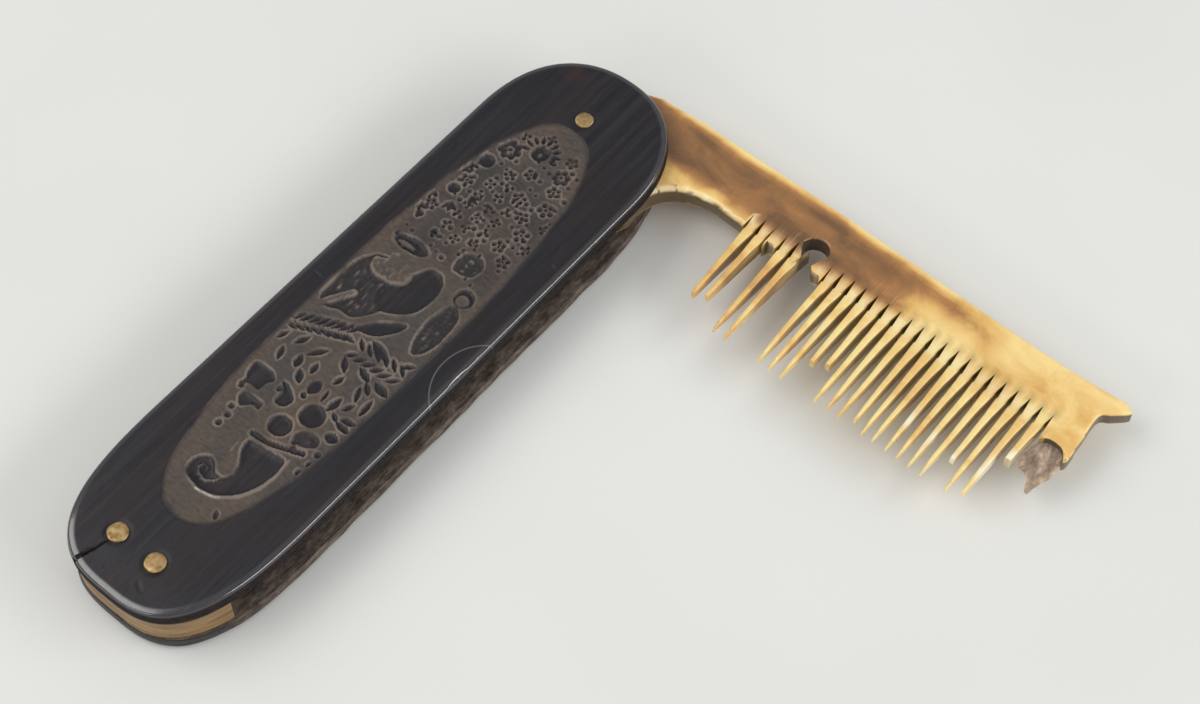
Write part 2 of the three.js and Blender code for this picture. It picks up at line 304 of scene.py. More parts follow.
top_scale = lay_grid("carved_plate", TOP,
                     steps((-57.5, 0.26), (-43.6, 0.2), (44.4, 0.32), (57.5, 0)),
                     steps((-14.3, 0.36), (-11.0, 0.185), (11.6, 0.36), (14.3, 0)), TOP_FACE)
carved_face = len(top_scale.data.vertices)
wrap_plate(top_scale, TOP, TOP_FACE, SLOT_CEILING, (1.6, 6, 11), CRISP)
report(top_scale)

bottom_scale = lay_grid("plain_plate", BOTTOM, steps((-57.5, 0.5), (57.5, 0)),
                        steps((-14.6, 0.5), (14.6, 0)), 0.0)
wrap_plate(bottom_scale, BOTTOM, 0.0, SLOT_FLOOR, np.arange(0.8, 15.4, 0.6), ROUND)
report(bottom_scale)

# %% [markdown]
# ## The carver's cuts
#
# The oval was sunk a little way into the face. Each figure in it was then gouged deeper, so it
# reads dark, with a thin ridge left standing round it. Operators can't cut two hundred
# small figures, so the relief is worked like clay: a height for every corner of the grid. A
# figure is first a distance, how far inside its edge each corner lies, and `shoulder` turns that
# into a soft-edged step. `shade` keeps how dark each hollow is coloured: partly the bare stained
# wood, partly painted shade of the cut. The ridges are coloured paler later on, partly from wear
# and partly as a painted highlight.

# %% Distances inside a shape
def shoulder(inside, width):
    """0 at the edge of a shape and 1 once `width` inside it, rounded like a worn edge."""
    t = np.clip(inside / width, 0, 1)
    return np.sqrt(1 - (1 - t) ** 2)


def turned(x, y, place, degrees):
    c, s = math.cos(math.radians(degrees)), math.sin(math.radians(degrees))
    return (x - place[0]) * c + (y - place[1]) * s, (y - place[1]) * c - (x - place[0]) * s


def in_oval(x, y, place, length, width, degrees=0.0):
    u, v = turned(x, y, place, degrees)
    r = np.hypot(u / (length / 2), v / (width / 2))
    return (1 - r) * min(length, width) / 2


def in_leaf(x, y, place, length, width, degrees=0.0):
    u, v = turned(x, y, place, degrees)
    return width / 2 * (1 - (u / (length / 2)) ** 2) - np.abs(v)


def to_line(x, y, path):
    """Distance to a path of straight stretches, and how far along it, from 0 to 1."""
    best, where = np.full_like(x, 1e9), np.zeros_like(x)
    for n, ((ax, ay), (bx, by)) in enumerate(zip(path, path[1:])):
        dx, dy = bx - ax, by - ay
        t = np.clip(((x - ax) * dx + (y - ay) * dy) / (dx * dx + dy * dy), 0, 1)
        d = np.hypot(x - ax - t * dx, y - ay - t * dy)
        nearer = d < best
        best, where = np.where(nearer, d, best), np.where(nearer, (n + t) / (len(path) - 1), where)
    return best, where


def in_patch(x, y, outline):
    """Distance inside a closed outline whose corners are cut off twice, negative outside."""
    corners = np.array(outline)
    for _ in range(2):
        following = np.roll(corners, -1, axis=0)
        near, far = 0.8 * corners + 0.2 * following, 0.2 * corners + 0.8 * following
        corners = np.stack([near, far], 1).reshape(-1, 2)
    closed = list(corners) + [corners[0]]
    inside = np.zeros(x.shape, dtype=bool)
    for (ax, ay), (bx, by) in zip(closed, closed[1:]):
        if ay != by:
            crosses = ((ay > y) != (by > y)) & (x < (bx - ax) * (y - ay) / (by - ay) + ax)
            inside ^= crosses
    d, _ = to_line(x, y, closed)
    return np.where(inside, d, -d)


# %% [markdown]
# ## The sunk oval
#
# The carver first drew an oval and took its ground down evenly, then outlined each figure with a
# small gouge and lowered it. `gouge` cuts such a figure, `leave` keeps wood standing inside one,
# `cut` takes a little off wherever it is told to, and `roughen` leaves a hollow full of nicks.

# %% Sink the oval
PANEL = {"x": 0.4, "y": 0.3, "half_length": 43.6, "half_width": 10.8, "power": 2.6}
GROUND_DEPTH, RIDGE = 0.36, 0.10

xyz = points(top_scale)
face = np.arange(len(xyz)) < carved_face
x, y = xyz[:, 0], xyz[:, 1]

power = PANEL["power"]
part_x = (np.abs(x - PANEL["x"]) / PANEL["half_length"]) ** power
part_y = (np.abs(y - PANEL["y"]) / PANEL["half_width"]) ** power
ring = np.maximum(part_x + part_y, 1e-6) ** (1 / power)
slope = ring ** (1 - power) * np.hypot(part_x ** (1 - 1 / power) / PANEL["half_length"],
                                       part_y ** (1 - 1 / power) / PANEL["half_width"])
in_panel = (1 - ring) / np.maximum(slope, 1e-3) + 0.12 * hills(x, y, 4, 1)

ground = -GROUND_DEPTH * ease(in_panel / 1.0)
ground = ground + ease(in_panel / 1.5) * (0.045 * hills(x, y, 3.0, 3) + 0.02 * hills(x, y, 0.8, 4, 2))
height = ground.copy()
shade = np.zeros_like(x)
wobble = hills(x, y, 0.7, 6) + hills(x, y, 1.9, 7)


def gouge(inside, width=0.5, depth=0.36, dark=1.0, ridge=RIDGE):
    """Cuts a figure in with a thin ridge round it, and colours it dark: stain and painted shade."""
    global height, shade
    inside = np.minimum(inside, in_panel - 0.9) + 0.05 * wobble
    height = height + ridge * ease((in_panel - 0.3) / 0.5) * np.exp(-((inside + 0.2) / 0.17) ** 2)
    bottom = ground - depth * shoulder(inside, width)
    height = np.where(inside > 0, np.minimum(height, bottom), height)
    # The hollow is coloured dark: partly the stained wood, partly painted shade of the cut.
    shade = np.maximum(shade, dark * ease((inside + 0.08) / 0.22))


def leave(inside, width=0.4, rise=0.0):
    """Leaves wood standing inside a hollow, up to the ground or a little over it."""
    global height, shade
    left = ground - 0.3 + (0.3 + rise) * shoulder(inside, width)
    height = np.where(inside > 0, np.maximum(height, left), height)
    shade = shade * (1 - ease(inside / 0.25))


def along_line(path, width, taper=True):
    """Distance inside a stroke that runs along a path, and may thin towards its end."""
    d, where = to_line(x, y, path)
    return width / 2 * (1 - 0.7 * where if taper else 1) - d


def cut(inside, depth, width=0.3):
    global height
    height = height - depth * shoulder(inside, width)


def leaf(place, length, width, angle, depth=0.34):
    gouge(in_leaf(x, y, place, length, width, angle), 0.35, depth)


def roughen(outline, depth, seed, dark=0.85):
    """A hollow that was left rough: hatched with a small gouge, its bottom full of nicks."""
    global height
    inside = in_patch(x, y, outline)
    gouge(inside, 0.7, depth, dark)
    nicks = 0.10 * hills(x, y, 0.45, seed, 2.5) + 0.06 * hills(x, y, 0.8, seed + 1)
    height = height + ease(inside / 0.4) * nicks


# %% [markdown]
# ## A horn of plenty and its fruit
#
# At the butt end of the oval a curled horn spills fruit, buds and leaves. A stamped outline would
# repeat itself, so each figure has its own place, size and turn, in millimetres on the plate.

# %% Horn of plenty
gouge(in_patch(x, y, [(-37.3, 3.7), (-37.8, 0.9), (-37.1, -1.7), (-35.0, -4.2), (-32.3, -5.5),
                      (-29.6, -5.9), (-26.4, -5.6), (-26.9, -3.4), (-27.1, -1.1), (-27.4, 0.9),
                      (-28.5, 1.0), (-29.6, 0.5), (-31.2, -0.7), (-33.4, -1.3), (-34.6, -0.4),
                      (-34.4, 1.0), (-33.3, 1.9), (-32.9, 3.2), (-33.6, 4.3), (-35.0, 4.9),
                      (-36.4, 4.7)]), 1.1, 0.42, 1.0, 0.15)
CURL = [(-36.2, 1.2), (-36.0, 2.6), (-35.2, 3.5), (-34.4, 3.2), (-34.3, 2.4), (-34.9, 2.1)]
leave(along_line(CURL, 0.42), 0.2, -0.12)
leave(along_line([(-36.2, 1.2), (-35.4, 0.2), (-34.4, -0.4)], 0.36, False), 0.2, -0.1)
RIM = [(-26.4, 1.3), (-26.2, -1.5), (-25.4, -3.8), (-24.3, -6.6)]
gouge(along_line(RIM, 0.8, False), 0.3, 0.42, 1.0, 0.14)
leave(along_line([(-30.5, 1.6), (-28.4, 1.9), (-26.9, 2.3)], 0.7), 0.4, 0.12)
for place, length, angle in (((-39.2, -2.0), 2.6, -20), ((-30.6, 4.6), 3.0, 20), ((-32.0, 6.0), 2.2, -10)):
    cut(in_leaf(x, y, place, length, 1.0, angle), 0.1, 0.4)
leaf((-39.2, -4.0), 1.8, 0.9, 30, 0.16)

# %% Fruit, and the leaves and buds round them
gouge(in_oval(x, y, (-23.0, -0.9), 3.5, 3.6), 0.7, 0.44, 1.0, 0.14)
gouge(in_oval(x, y, (-18.9, -3.4), 3.9, 3.9), 0.7, 0.44, 1.0, 0.14)
gouge(in_patch(x, y, [(-20.8, 2.7), (-18.5, 2.8), (-17.2, 4.2), (-17.4, 2.4), (-18.7, 0.3),
                      (-20.5, 0.8)]), 0.5, 0.4)
gouge(in_patch(x, y, [(-21.8, 8.9), (-20.4, 8.4), (-19.6, 9.1), (-17.2, 9.5), (-17.0, 6.2),
                      (-18.1, 4.6), (-19.2, 5.6), (-20.9, 5.5), (-20.6, 7.4)]), 0.6, 0.26, 1.0)
roughen([(-24.5, 5.8), (-23.4, 7.2), (-22.0, 7.2), (-21.9, 5.6), (-21.8, 3.4), (-23.2, 3.2),
         (-23.0, 4.8)], 0.34, 71)
roughen([(-24.0, -3.9), (-22.4, -3.4), (-21.0, -4.6), (-20.9, -6.8), (-22.2, -7.6),
         (-23.4, -6.2)], 0.3, 72)
for px, py, length, width, angle in (
        (-15.2, -0.3, 2.9, 1.9, -5), (-15.5, -4.5, 3.1, 1.3, -8), (-13.1, -8.4, 3.4, 1.0, 4),
        (-16.4, -8.0, 2.8, 1.1, 105), (-17.6, -8.0, 2.9, 1.1, 82), (-19.8, -8.0, 2.4, 1.7, 95),
        (-13.4, 4.6, 2.4, 1.3, 15), (-15.2, 2.7, 2.6, 1.2, 40), (-12.2, -6.0, 2.8, 0.9, 25),
        (-14.6, -6.4, 2.4, 0.9, -30), (-12.9, 1.9, 2.2, 1.0, 10), (-12.2, -2.2, 2.2, 1.0, -15),
        (-17.0, -6.0, 1.9, 0.8, 60), (-14.0, 7.6, 2.6, 1.0, 20), (-17.2, 0.0, 1.3, 0.8, 60),
        (-11.6, 9.6, 2.6, 0.9, -28), (-15.3, -2.5, 2.2, 0.6, 8)):
    leaf((px, py), length, width, angle)


def punch(place, size, depth=0.3, dark=0.9):
    """A round punch's blow: a small pit coloured dark as painted shade, the wood it pushed up round it."""
    gouge(size / 2 - np.hypot(x - place[0], y - place[1]), size / 2.6, depth, dark, 0.08)


for place in ((-28.2, 6.3), (-26.5, 6.2), (-25.1, 6.8), (-23.7, -4.3), (-26.9, -8.2), (-25.0, -8.6),
              (-23.1, -8.4), (-21.6, 8.2), (-24.6, -4.9), (-18.6, 3.4)):
    punch(place, 1.0)

# %% [markdown]
# ## Wheat and the large figure
#
# Two ears of wheat cross the oval. Each is a thin stalk with a row of grains on both sides, so a
# loop sets the grains in pairs. Next to them is the largest and most worn figure, whose hollows
# the carver roughened with short strokes and left uncleaned.

# %% Ears of wheat and a fan of leaves
GRAINS, FAN = 8, 6
for i in range(GRAINS):
    t = i / (GRAINS - 1)
    px, py = -8.6 + 3.6 * t, 9.8 - 8.0 * t
    for side in (-1, 1):
        leaf((px + 0.85 * side, py + 0.1 * side), 2.7, 0.85, -62 + side * 34)
for i in range(FAN):
    px, py = -6.6 + 0.1 * i, -1.2 - 1.5 * i
    for side in (-1, 1):
        leaf((px + 1.1 * side, py + 0.5), 2.5, 0.8, 90 - side * 42)
for px, py, length, width, angle in (
        (-10.6, 3.4, 3.4, 0.9, -40), (-9.6, -1.0, 3.0, 1.0, 40), (-9.0, -4.4, 3.0, 1.2, 70),
        (-9.4, -8.0, 3.2, 1.5, 75), (-10.6, -6.4, 2.4, 0.9, 50), (-4.6, -3.4, 4.2, 1.7, 72),
        (-10.4, 6.6, 2.8, 0.9, -30), (-4.0, -8.4, 2.4, 0.8, -52), (-3.9, 9.0, 3.6, 1.1, -58)):
    leaf((px, py), length, width, angle)
leave(along_line([(-9.2, 10.0), (-5.4, 2.2)], 0.5, False), 0.25, 0.02)
leave(along_line([(-6.4, 0.4), (-6.2, -9.4)], 0.45, False), 0.25, 0.02)

# %% The large figure in the middle
roughen([(-3.2, 10.2), (1.6, 10.6), (5.9, 9.9), (7.6, 8.2), (7.6, 1.5), (4.2, -1.0), (0.2, 1.4),
         (-3.2, 3.6), (-3.0, 6.2), (-4.2, 8.2)], 0.38, 73)
gouge(in_patch(x, y, [(0.1, 2.2), (3.0, 4.4), (6.0, 4.0), (8.0, 2.0), (11.0, 0.6), (11.3, -1.4),
                      (9.8, -3.0), (7.6, -3.6), (3.6, -3.2), (1.4, -0.8)]), 1.3, 0.46, 1.0)
leave(along_line([(-5.4, 10.0), (-2.6, 8.4), (0.4, 6.6)], 1.5, False), 0.4, 0.0)
cap = in_patch(x, y, [(4.6, 6.6), (5.6, 8.2), (7.3, 8.7), (9.4, 7.6), (10.9, 4.9), (10.2, 2.7),
                      (8.0, 1.4), (6.0, 1.6), (5.0, 3.4)])
leave(cap, 0.6, 0.05)
height = height + ease(cap / 0.5) * 0.12 * hills(x, y, 0.6, 75)
gouge(along_line([(5.8, 9.4), (7.6, 8.4), (8.2, 6.8)], 0.5), 0.2, 0.3)
gouge(in_oval(x, y, (12.2, 5.6), 2.5, 6.2, 4), 0.5, 0.4)
leave(in_oval(x, y, (11.9, 6.4), 1.0, 3.4, 4), 0.3, 0.0)
gouge(in_patch(x, y, [(-4.3, 2.2), (-3.1, 1.7), (-0.4, -0.6), (1.5, -3.8), (-0.4, -3.5),
                      (-3.4, -1.2)]), 0.5, 0.38, 1.0, 0.14)
leave(along_line([(-4.0, 3.3), (-0.4, 0.5), (3.2, -3.2)], 0.95, False), 0.3, 0.08)
roughen([(-2.4, -7.2), (0.0, -5.8), (4.0, -5.3), (7.6, -5.8), (8.4, -7.2), (6.8, -8.8),
         (3.0, -9.3), (-0.6, -8.8)], 0.36, 76)
gouge(in_oval(x, y, (10.0, -6.9), 3.3, 3.2), 0.4, 0.3)
leave(in_oval(x, y, (9.6, -6.9), 2.3, 2.4), 0.5, 0.06)
roughen([(12.6, -2.2), (14.4, -1.4), (16.8, -1.9), (17.3, -4.4), (15.6, -5.9), (13.2, -5.2)],
        0.26, 77, 0.7)
STROKE = 0.26
for i in range(12):
    v = 9.6 - 0.6 * i
    cut(along_line([(-2.0 + 0.1 * i, v), (4.2 + 0.1 * i, v - 0.25)], STROKE), 0.1)
for i in range(11):
    u = -1.0 + 0.85 * i
    cut(along_line([(u, -5.9), (u + 0.6, -8.9)], STROKE), 0.12)

# %% [markdown]
# ## Flowers and dots
#
# The pivot end of the oval is filled with small flowers and loose dots, all struck with one round
# punch. A flower is a ring of blows, so one function makes it, and loops set out the rows. The
# dots between them are spread by two steps that never fall into line.

# %% Flowers, balls and rows of dots
def flower(place, size, petals, turn=0.0):
    """A ring of dark petals, each a blow of the punch, about a smaller one."""
    for i in range(petals):
        angle = turn + 2 * math.pi * i / petals
        across, up = size * 0.33 * math.cos(angle), size * 0.33 * math.sin(angle)
        punch((place[0] + across, place[1] + up), size * 0.36)
    punch(place, size * 0.2, 0.2)


for px, py, size, petals in (
        (35.1, 5.8, 3.7, 7), (36.0, -3.7, 3.0, 6), (39.2, -3.2, 2.2, 5), (38.7, 5.8, 1.9, 4),
        (33.5, 0.2, 2.2, 5), (29.9, -5.8, 2.7, 5), (24.0, -6.0, 2.7, 5), (29.0, -1.3, 2.4, 5),
        (26.6, 7.2, 2.2, 5), (27.4, 9.4, 1.8, 4), (33.2, -4.6, 2.2, 5), (20.4, -4.6, 2.3, 5),
        (22.4, -8.2, 1.9, 4), (27.0, -7.9, 1.8, 4), (31.4, 2.6, 2.0, 5), (26.6, -3.9, 2.2, 5),
        (18.6, -7.0, 2.2, 5), (32.6, 9.0, 1.8, 4), (19.9, 8.4, 2.2, 5), (40.6, 2.0, 1.8, 4)):
    flower((px, py), size, petals, 0.7 * px)
for px, py, size in ((24.2, 7.7, 2.0), (31.2, 7.2, 2.5), (16.2, 4.6, 1.2), (17.4, 8.6, 1.3)):
    gouge(in_oval(x, y, (px, py), size, size), 0.7, 0.38)
for row, v in enumerate((4.1, 1.4, -1.3)):
    for i in range(6):
        flower((16.0 + 1.2 * (row % 2) + 2.45 * i, v - 0.04 * i), 1.7, 3 + (i + row) % 2, 0.4 + i)
SUN, RAYS = (37.4, 1.7), 2.6
gouge(in_oval(x, y, SUN, 2.8, 2.8), 0.8, 0.42, 1.0, 0.14)
leave(in_oval(x, y, SUN, 0.9, 0.9), 0.4, -0.2)
for i in range(9):
    angle = math.radians(100 - 24 * i)
    leaf((SUN[0] + RAYS * math.cos(angle), SUN[1] + RAYS * math.sin(angle)), 1.7, 0.8,
         math.degrees(angle), 0.26)
for px, py, heading in ((19.0, 10.0, 215), (22.0, 10.2, 205), (29.2, 9.0, 240), (24.6, 4.6, 250),
                        (22.0, 6.2, 200)):
    for spread in (-38, 0, 38):
        angle = heading + spread
        c, s = math.cos(math.radians(angle)), math.sin(math.radians(angle))
        leaf((px + 0.9 * c, py + 0.9 * s), 2.0, 0.7, angle, 0.28)
LOOSE_DOTS = 90
for i in range(LOOSE_DOTS):
    u, v = 12.5 + 27 * ((i * 0.618) % 1), -8.2 + 17.4 * ((i * 0.414 + 0.13) % 1)
    punch((u, v), 0.5 + 0.35 * ((i * 0.3) % 1), 0.24, 0.8)
print(f"carving: {height[face].min():.2f} mm at its deepest")

# %% [markdown]
# ## Wear on the carved plate
#
# A century of pockets has crowned the face a little and rubbed its edges. At the butt a crack
# runs in from the end to the left rivet, a sliver is gone from one long edge, and there are a few
# gouges. Dust has settled in the carving, and hands have polished what stands out. A texture
# painted by hand could say where, but the heights already know, so the cells below keep four
# numbers for each corner: one for the dust on the low ground; one for the ridges, paler from wear
# and from a painted highlight, which also paints a bright line along the back of the horn of
# plenty; one for the polish of the rim and of that line; and one for the sides, which are duller
# wood and are coloured darker as painted shade.

# %% Crack, chip, gouges and rivet seats
CRACK = [(-58.6, 7.2), (-57.2, 6.6), (-56.3, 6.1), (-55.2, 5.8), (-53.7, 5.2), (-52.4, 4.9), (-51.4, 4.6)]

height = np.where(face, height, 0.0)
height = height + np.where(in_panel < 0.3, 0.02 * hills(x, y, 6, 11, 3) - 0.02, 0)
to_crack, along_crack = to_line(x, y, CRACK)
cut(0.42 * (1 - 0.7 * along_crack) - to_crack, 0.9 * (1 - 0.45 * along_crack), 0.3)
beside = (x < -51) & (y < np.interp(x, [p[0] for p in CRACK], [p[1] for p in CRACK]))
height = height - 0.1 * beside * ease((-51 - x) / 5)
cut(in_oval(x, y, (-0.8, -15.7), 5.0, 1.5, 2), 0.3, 0.6)
cut(in_leaf(x, y, (24.9, -12.2), 4.6, 1.0, 16), 0.16, 0.4)
cut(in_leaf(x, y, (22.6, -13.3), 1.6, 0.7, 70), 0.12, 0.3)
cut(in_leaf(x, y, (30.3, 12.6), 3.8, 0.5, 24), 0.1, 0.25)
cut(in_leaf(x, y, (-0.8, 12.6), 2.2, 0.5, 84), 0.1, 0.25)
cut(in_leaf(x, y, (-53.9, -3.7), 2.4, 0.8, 60), 0.08, 0.3)
RIVET_SEAT = 2.1
for px, py in RIVETS.values():
    cut(RIVET_SEAT - np.hypot(x - px, y - py), 0.1, 0.5)

# %% Lay the relief on the plate
columns = len(np.unique(np.round(read(top_scale, "along")[:carved_face], 4)))
crown = -0.08 * (y / 15.5) ** 2 - 0.3 * np.clip((np.abs(y) - 10.5) / 5, 0, 1) ** 2
crown = crown - 0.35 * np.clip((np.abs(x) - 47) / 10, 0, 1) ** 2
share = np.clip((xyz[:, 2] - SLOT_CEILING) / (TOP_FACE - SLOT_CEILING), 0, 1)
xyz[:, 2] += share * (height + crown)
pull = 0.45 * np.clip(1 - to_crack / 0.45, 0, 1) * ~face * (share > 0.1)
xyz[:, :2] *= (1 - pull / np.maximum(np.hypot(x, y), 1))[:, None]
set_points(top_scale, xyz)

relief = height[:carved_face].reshape(-1, columns)
around = range(-3, 4)
blurred = sum(np.roll(np.roll(relief, i, 0), j, 1) for i in around for j in around) / len(around) ** 2
ridge = np.zeros(len(xyz))
ridge[:carved_face] = (relief - blurred).ravel()
drop = (1 - share) * (TOP_FACE - SLOT_CEILING)
among_dots = ease((x - 9) / 6) * ease((35 - x) / 6)
grimy = 0.42 * among_dots * ease((in_panel - 0.6) / 1.5) * ease(0.7 + hills(x, y, 3.5, 8))
write(top_scale, "dust", np.where(face, ease((in_panel - 0.1) / 0.7) * (1 - shade) * (1 - grimy), 0))
# A painted highlight: the bright line along the back of the horn of plenty is coloured pale.
HORN_BACK = [(-38.0, 1.2), (-37.4, -1.9), (-35.3, -4.5), (-32.4, -5.9), (-29.6, -6.3), (-26.4, -5.9)]
gleam = ease(along_line(HORN_BACK, 0.6, False) / 0.25)
# The ridges round the figures are coloured paler: partly wear, partly a painted highlight.
on_ridges = (1 - gleam) * ease((ridge - 0.01) / 0.1) * ease(in_panel / 0.4)
on_ridges = on_ridges * ease(0.65 + 0.6 * hills(x, y, 2.2, 9))
write(top_scale, "rubbed_and_highlight", np.where(face, 0.9 * gleam + on_ridges, 0))
write(top_scale, "polished", np.where(face, gleam, 1 - ease((drop - 0.35) / 0.35)))
# The sides below the face are duller raw wood, and are also coloured darker as painted shade.
write(top_scale, "side", np.where(face, 0.0, ease((drop - 0.4) / 0.5)))
smooth(top_scale, 50)
report(top_scale)

# %% [markdown]
# ## The plain plate
#
# Nobody sees the inside of the lower plate until the comb is out, so its maker left it rough from
# the saw: ripples across it, splits that run with the grain, and an uneven edge. Its outer face is
# smooth, with three shallow cones sunk in it that take the rivets' lower heads. A bump in the
# material would leave the edge's outline straight, so the corners themselves are moved.

# %% Rough inside and countersinks
xyz = points(bottom_scale)
x, y = xyz[:, 0], xyz[:, 1]
inside = np.abs(xyz[:, 2] - SLOT_FLOOR) < 1e-3
sawn = -0.05 * (1 + hills(x, y, 1.6, 22, 0.5)) - 0.06 * np.abs(hills(x, y, 0.9, 23, 6))
for path in ([(-52, -11.2), (-30, -12.4), (-8, -11.9)], [(2, -12.8), (20, -12.0), (41, -12.9)],
             [(-20, -8.3), (6, -7.2), (22, -8.1)], [(-46, 9.1), (-20, 10.0), (12, 9.3)]):
    to_split, where = to_line(x, y, path)
    sawn -= 0.35 * np.clip(1 - to_split / 0.5, 0, 1) * np.sin(math.pi * where)
xyz[:, 2] += inside * sawn

outside = xyz[:, 2] < 0.1
sunk = 0.02 + 0.02 * hills(x, y, 5, 24, 3)
for px, py in RIVETS.values():
    sunk = np.maximum(sunk, 0.9 * np.clip((2.5 - np.hypot(x - px, y - py)) / 0.8, 0, 1))
xyz[:, 2] += outside * sunk
at_edge = (xyz[:, 2] > 0.35) & ~inside
xyz[:, 0] *= 1 - 0.0016 * at_edge * (1 + hills(x, xyz[:, 2], 0.9, 25, 3))
xyz[:, 1] *= 1 - 0.007 * at_edge * (1 + hills(x, xyz[:, 2], 0.9, 25, 3))
set_points(bottom_scale, xyz)
butt_nose = ease((-47 - x + 1.5 * hills(x, y, 2, 26)) / 3) * ~inside
write(bottom_scale, "stained", np.maximum(butt_nose, 1 - ease((xyz[:, 2] - 0.25) / 0.4)))
smooth(bottom_scale, 50)
report(bottom_scale)

# %% [markdown]
# ## Starting from the frame's own shape
#
# The comb and the spacer already have their exact outline in the CAD model. A copy of it is the
# quickest true start: its loose triangles are merged, the flat ones dissolved into whole faces,
# and the copy is then cut up and worked as any new mesh is.

# %% Copy a CAD piece
def copy_of(node, name, merge_mm=0.001):
    piece = bpy.data.objects.new(name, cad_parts[node].data.copy())
    piece.data.name = name
    piece.data.materials.clear()
    bpy.context.collection.objects.link(piece)
    only(piece)
    if piece.data.has_custom_normals:
        bpy.ops.mesh.customdata_custom_splitnormals_clear()
    bpy.ops.object.mode_set(mode="EDIT")
    bpy.ops.mesh.select_all(action="SELECT")
    bpy.ops.mesh.remove_doubles(threshold=merge_mm * MM)
    bpy.ops.mesh.dissolve_limited(angle_limit=math.radians(0.5))
    leave_edit()
    return piece


def bisect_all(piece, axis, places_mm):
    """Cuts the whole piece through at each place along one axis, as with a fine saw."""
    normal = [0, 0, 0]
    normal["xyz".index(axis)] = 1
    edit(piece)
    for place in places_mm:
        bpy.ops.mesh.select_all(action="SELECT")
        bpy.ops.mesh.bisect(plane_co=[n * place * MM for n in normal], plane_no=normal)
    leave_edit()


def bevel_edges(piece, widest_mm, share_of_widest, segments=3):
    """Rounds the edges: share_of_widest gives each edge from 0 to 1 of the widest bevel, from its
    middle in mm, its direction and the angle between its faces."""
    mesh = bmesh.new()
    mesh.from_mesh(piece.data)
    weight = mesh.edges.layers.float.new("bevel_weight_edge")
    for each in mesh.edges:
        if len(each.link_faces) == 2:
            a, b = (Vector(v.co) / MM for v in each.verts)
            each[weight] = share_of_widest((a + b) / 2, (b - a).normalized(),
                                           math.degrees(each.calc_face_angle(0)))
    mesh.to_mesh(piece.data)
    mesh.free()
    only(piece)
    rounding = piece.modifiers.new("rounding", "BEVEL")
    rounding.limit_method, rounding.use_clamp_overlap = "WEIGHT", False
    rounding.width, rounding.segments = widest_mm * MM, segments
    rounding.miter_outer, rounding.spread = "MITER_ARC", 0.0001
    bpy.ops.object.modifier_apply(modifier=rounding.name)


# %% [markdown]
# ## The spacer
#
# A block of the same horn holds the plates apart at the butt. Horn grows in thin layers, which
# show on its cut edge as lines, so the block is bisected into layers, and each one's outer edge is
# filed back a little more or less. Its inner side is left alone: the comb's tip shuts close to it.

# %% Spacer
LAYER = 0.45
BUTT_CENTRE, BUTT_REACH = -40, 13.5  # only what lies further from the centre than this is filed

butt_spacer = copy_of("butt_spacer", "butt_block")
bisect_all(butt_spacer, "z", np.arange(SLOT_FLOOR + LAYER, SLOT_CEILING - 0.3, LAYER))
bisect_all(butt_spacer, "x", np.arange(-56.5, -46.7, 0.7))
bisect_all(butt_spacer, "y", np.arange(-14.7, 15, 0.7))
bevel_edges(butt_spacer, 0.35, lambda at, way, angle: (angle > 40) * (abs(way.z) < 0.3) * 1.0)
xyz = points(butt_spacer)
x, y, z = xyz.T
layer = np.random.default_rng(31).uniform(-1, 1, 40)[np.rint(z / LAYER).astype(int)]
away = np.hypot(x - BUTT_CENTRE, y)
edge = ease((away - BUTT_REACH) / 1.5)
inward = np.maximum(0.05, 0.32 + 0.1 * layer + 0.12 * hills(x + y, z, 1.3, 32, 3))
away = np.maximum(away, 1)
xyz[:, 0] -= edge * inward * (x - BUTT_CENTRE) / away
xyz[:, 1] -= edge * inward * y / away
set_points(butt_spacer, xyz)
smooth(butt_spacer, 35)
report(butt_spacer)

# %% [markdown]
# ## The comb
#
# The blade is thick at the tang, where it fills the slot, and thinner towards the far end. Its
# teeth were sawn one by one and filed to points, and several are broken. One bevel for all would
# be too wide for the points or too thin for the heel, so each sharp edge gets its own: wide on the
# heel, which hands have rounded, less on the spine, and fine on the teeth. The feet of the saw
# slots stay as sharp as the saw left them. Then the copy is bisected into short pieces.
#
# Below, u runs out along the blade from the pivot and v from the teeth towards the spine, in mm.

# %% Comb
PIVOT_X, PIVOT_Y = RIVETS["pivot_rivet"]
COMB_MID = (SLOT_FLOOR + SLOT_CEILING) / 2
TOOTH_HALF_WIDTH = ((-14.6, 0.12), (-11, 0.38), (-5, 0.6), (2.2, 0.82), (5.2, 1.0))
FIRST_TOOTH, TOOTH_PITCH, LAST_TOOTH = 30.8, 2.125, 25
TEETH_START = 29.6                   # where the heel ends and the first tooth's flank begins
SLOT_MOUTH, SLOT_ROOT = 2.2, 5.2
TOOTH_LENGTH = 16.8
EDGE_BEVEL = 0.4

comb = copy_of("comb", "horn_comb", 0.05)
bisect_all(comb, "x", PIVOT_X + np.arange(-13, 1.1, 2))


def comb_bevel(at, way, angle):
    """The share of a 1 mm bevel that an edge gets. Seam lines and upright edges get none."""
    u, v = PIVOT_Y - at.y, at.x - PIVOT_X
    if angle < 25 or abs(way.z) > 0.5:
        return 0.0
    on_tooth = u > 28 and v < 5.6 and (u > TEETH_START - 0.02 or abs(way.x) > 0.9)
    if on_tooth and v >= SLOT_MOUTH:
        return 0.0
    if on_tooth:
        half_width = np.interp(v, *zip(*TOOTH_HALF_WIDTH))
        return float(min(0.42, 0.5 * half_width) * (1 - 0.5 * ease((v + 1) / 2.6)))
    if u < 30 and v < 6:
        return EDGE_BEVEL + 0.5 * float(ease((6 - v) / 3))
    return EDGE_BEVEL


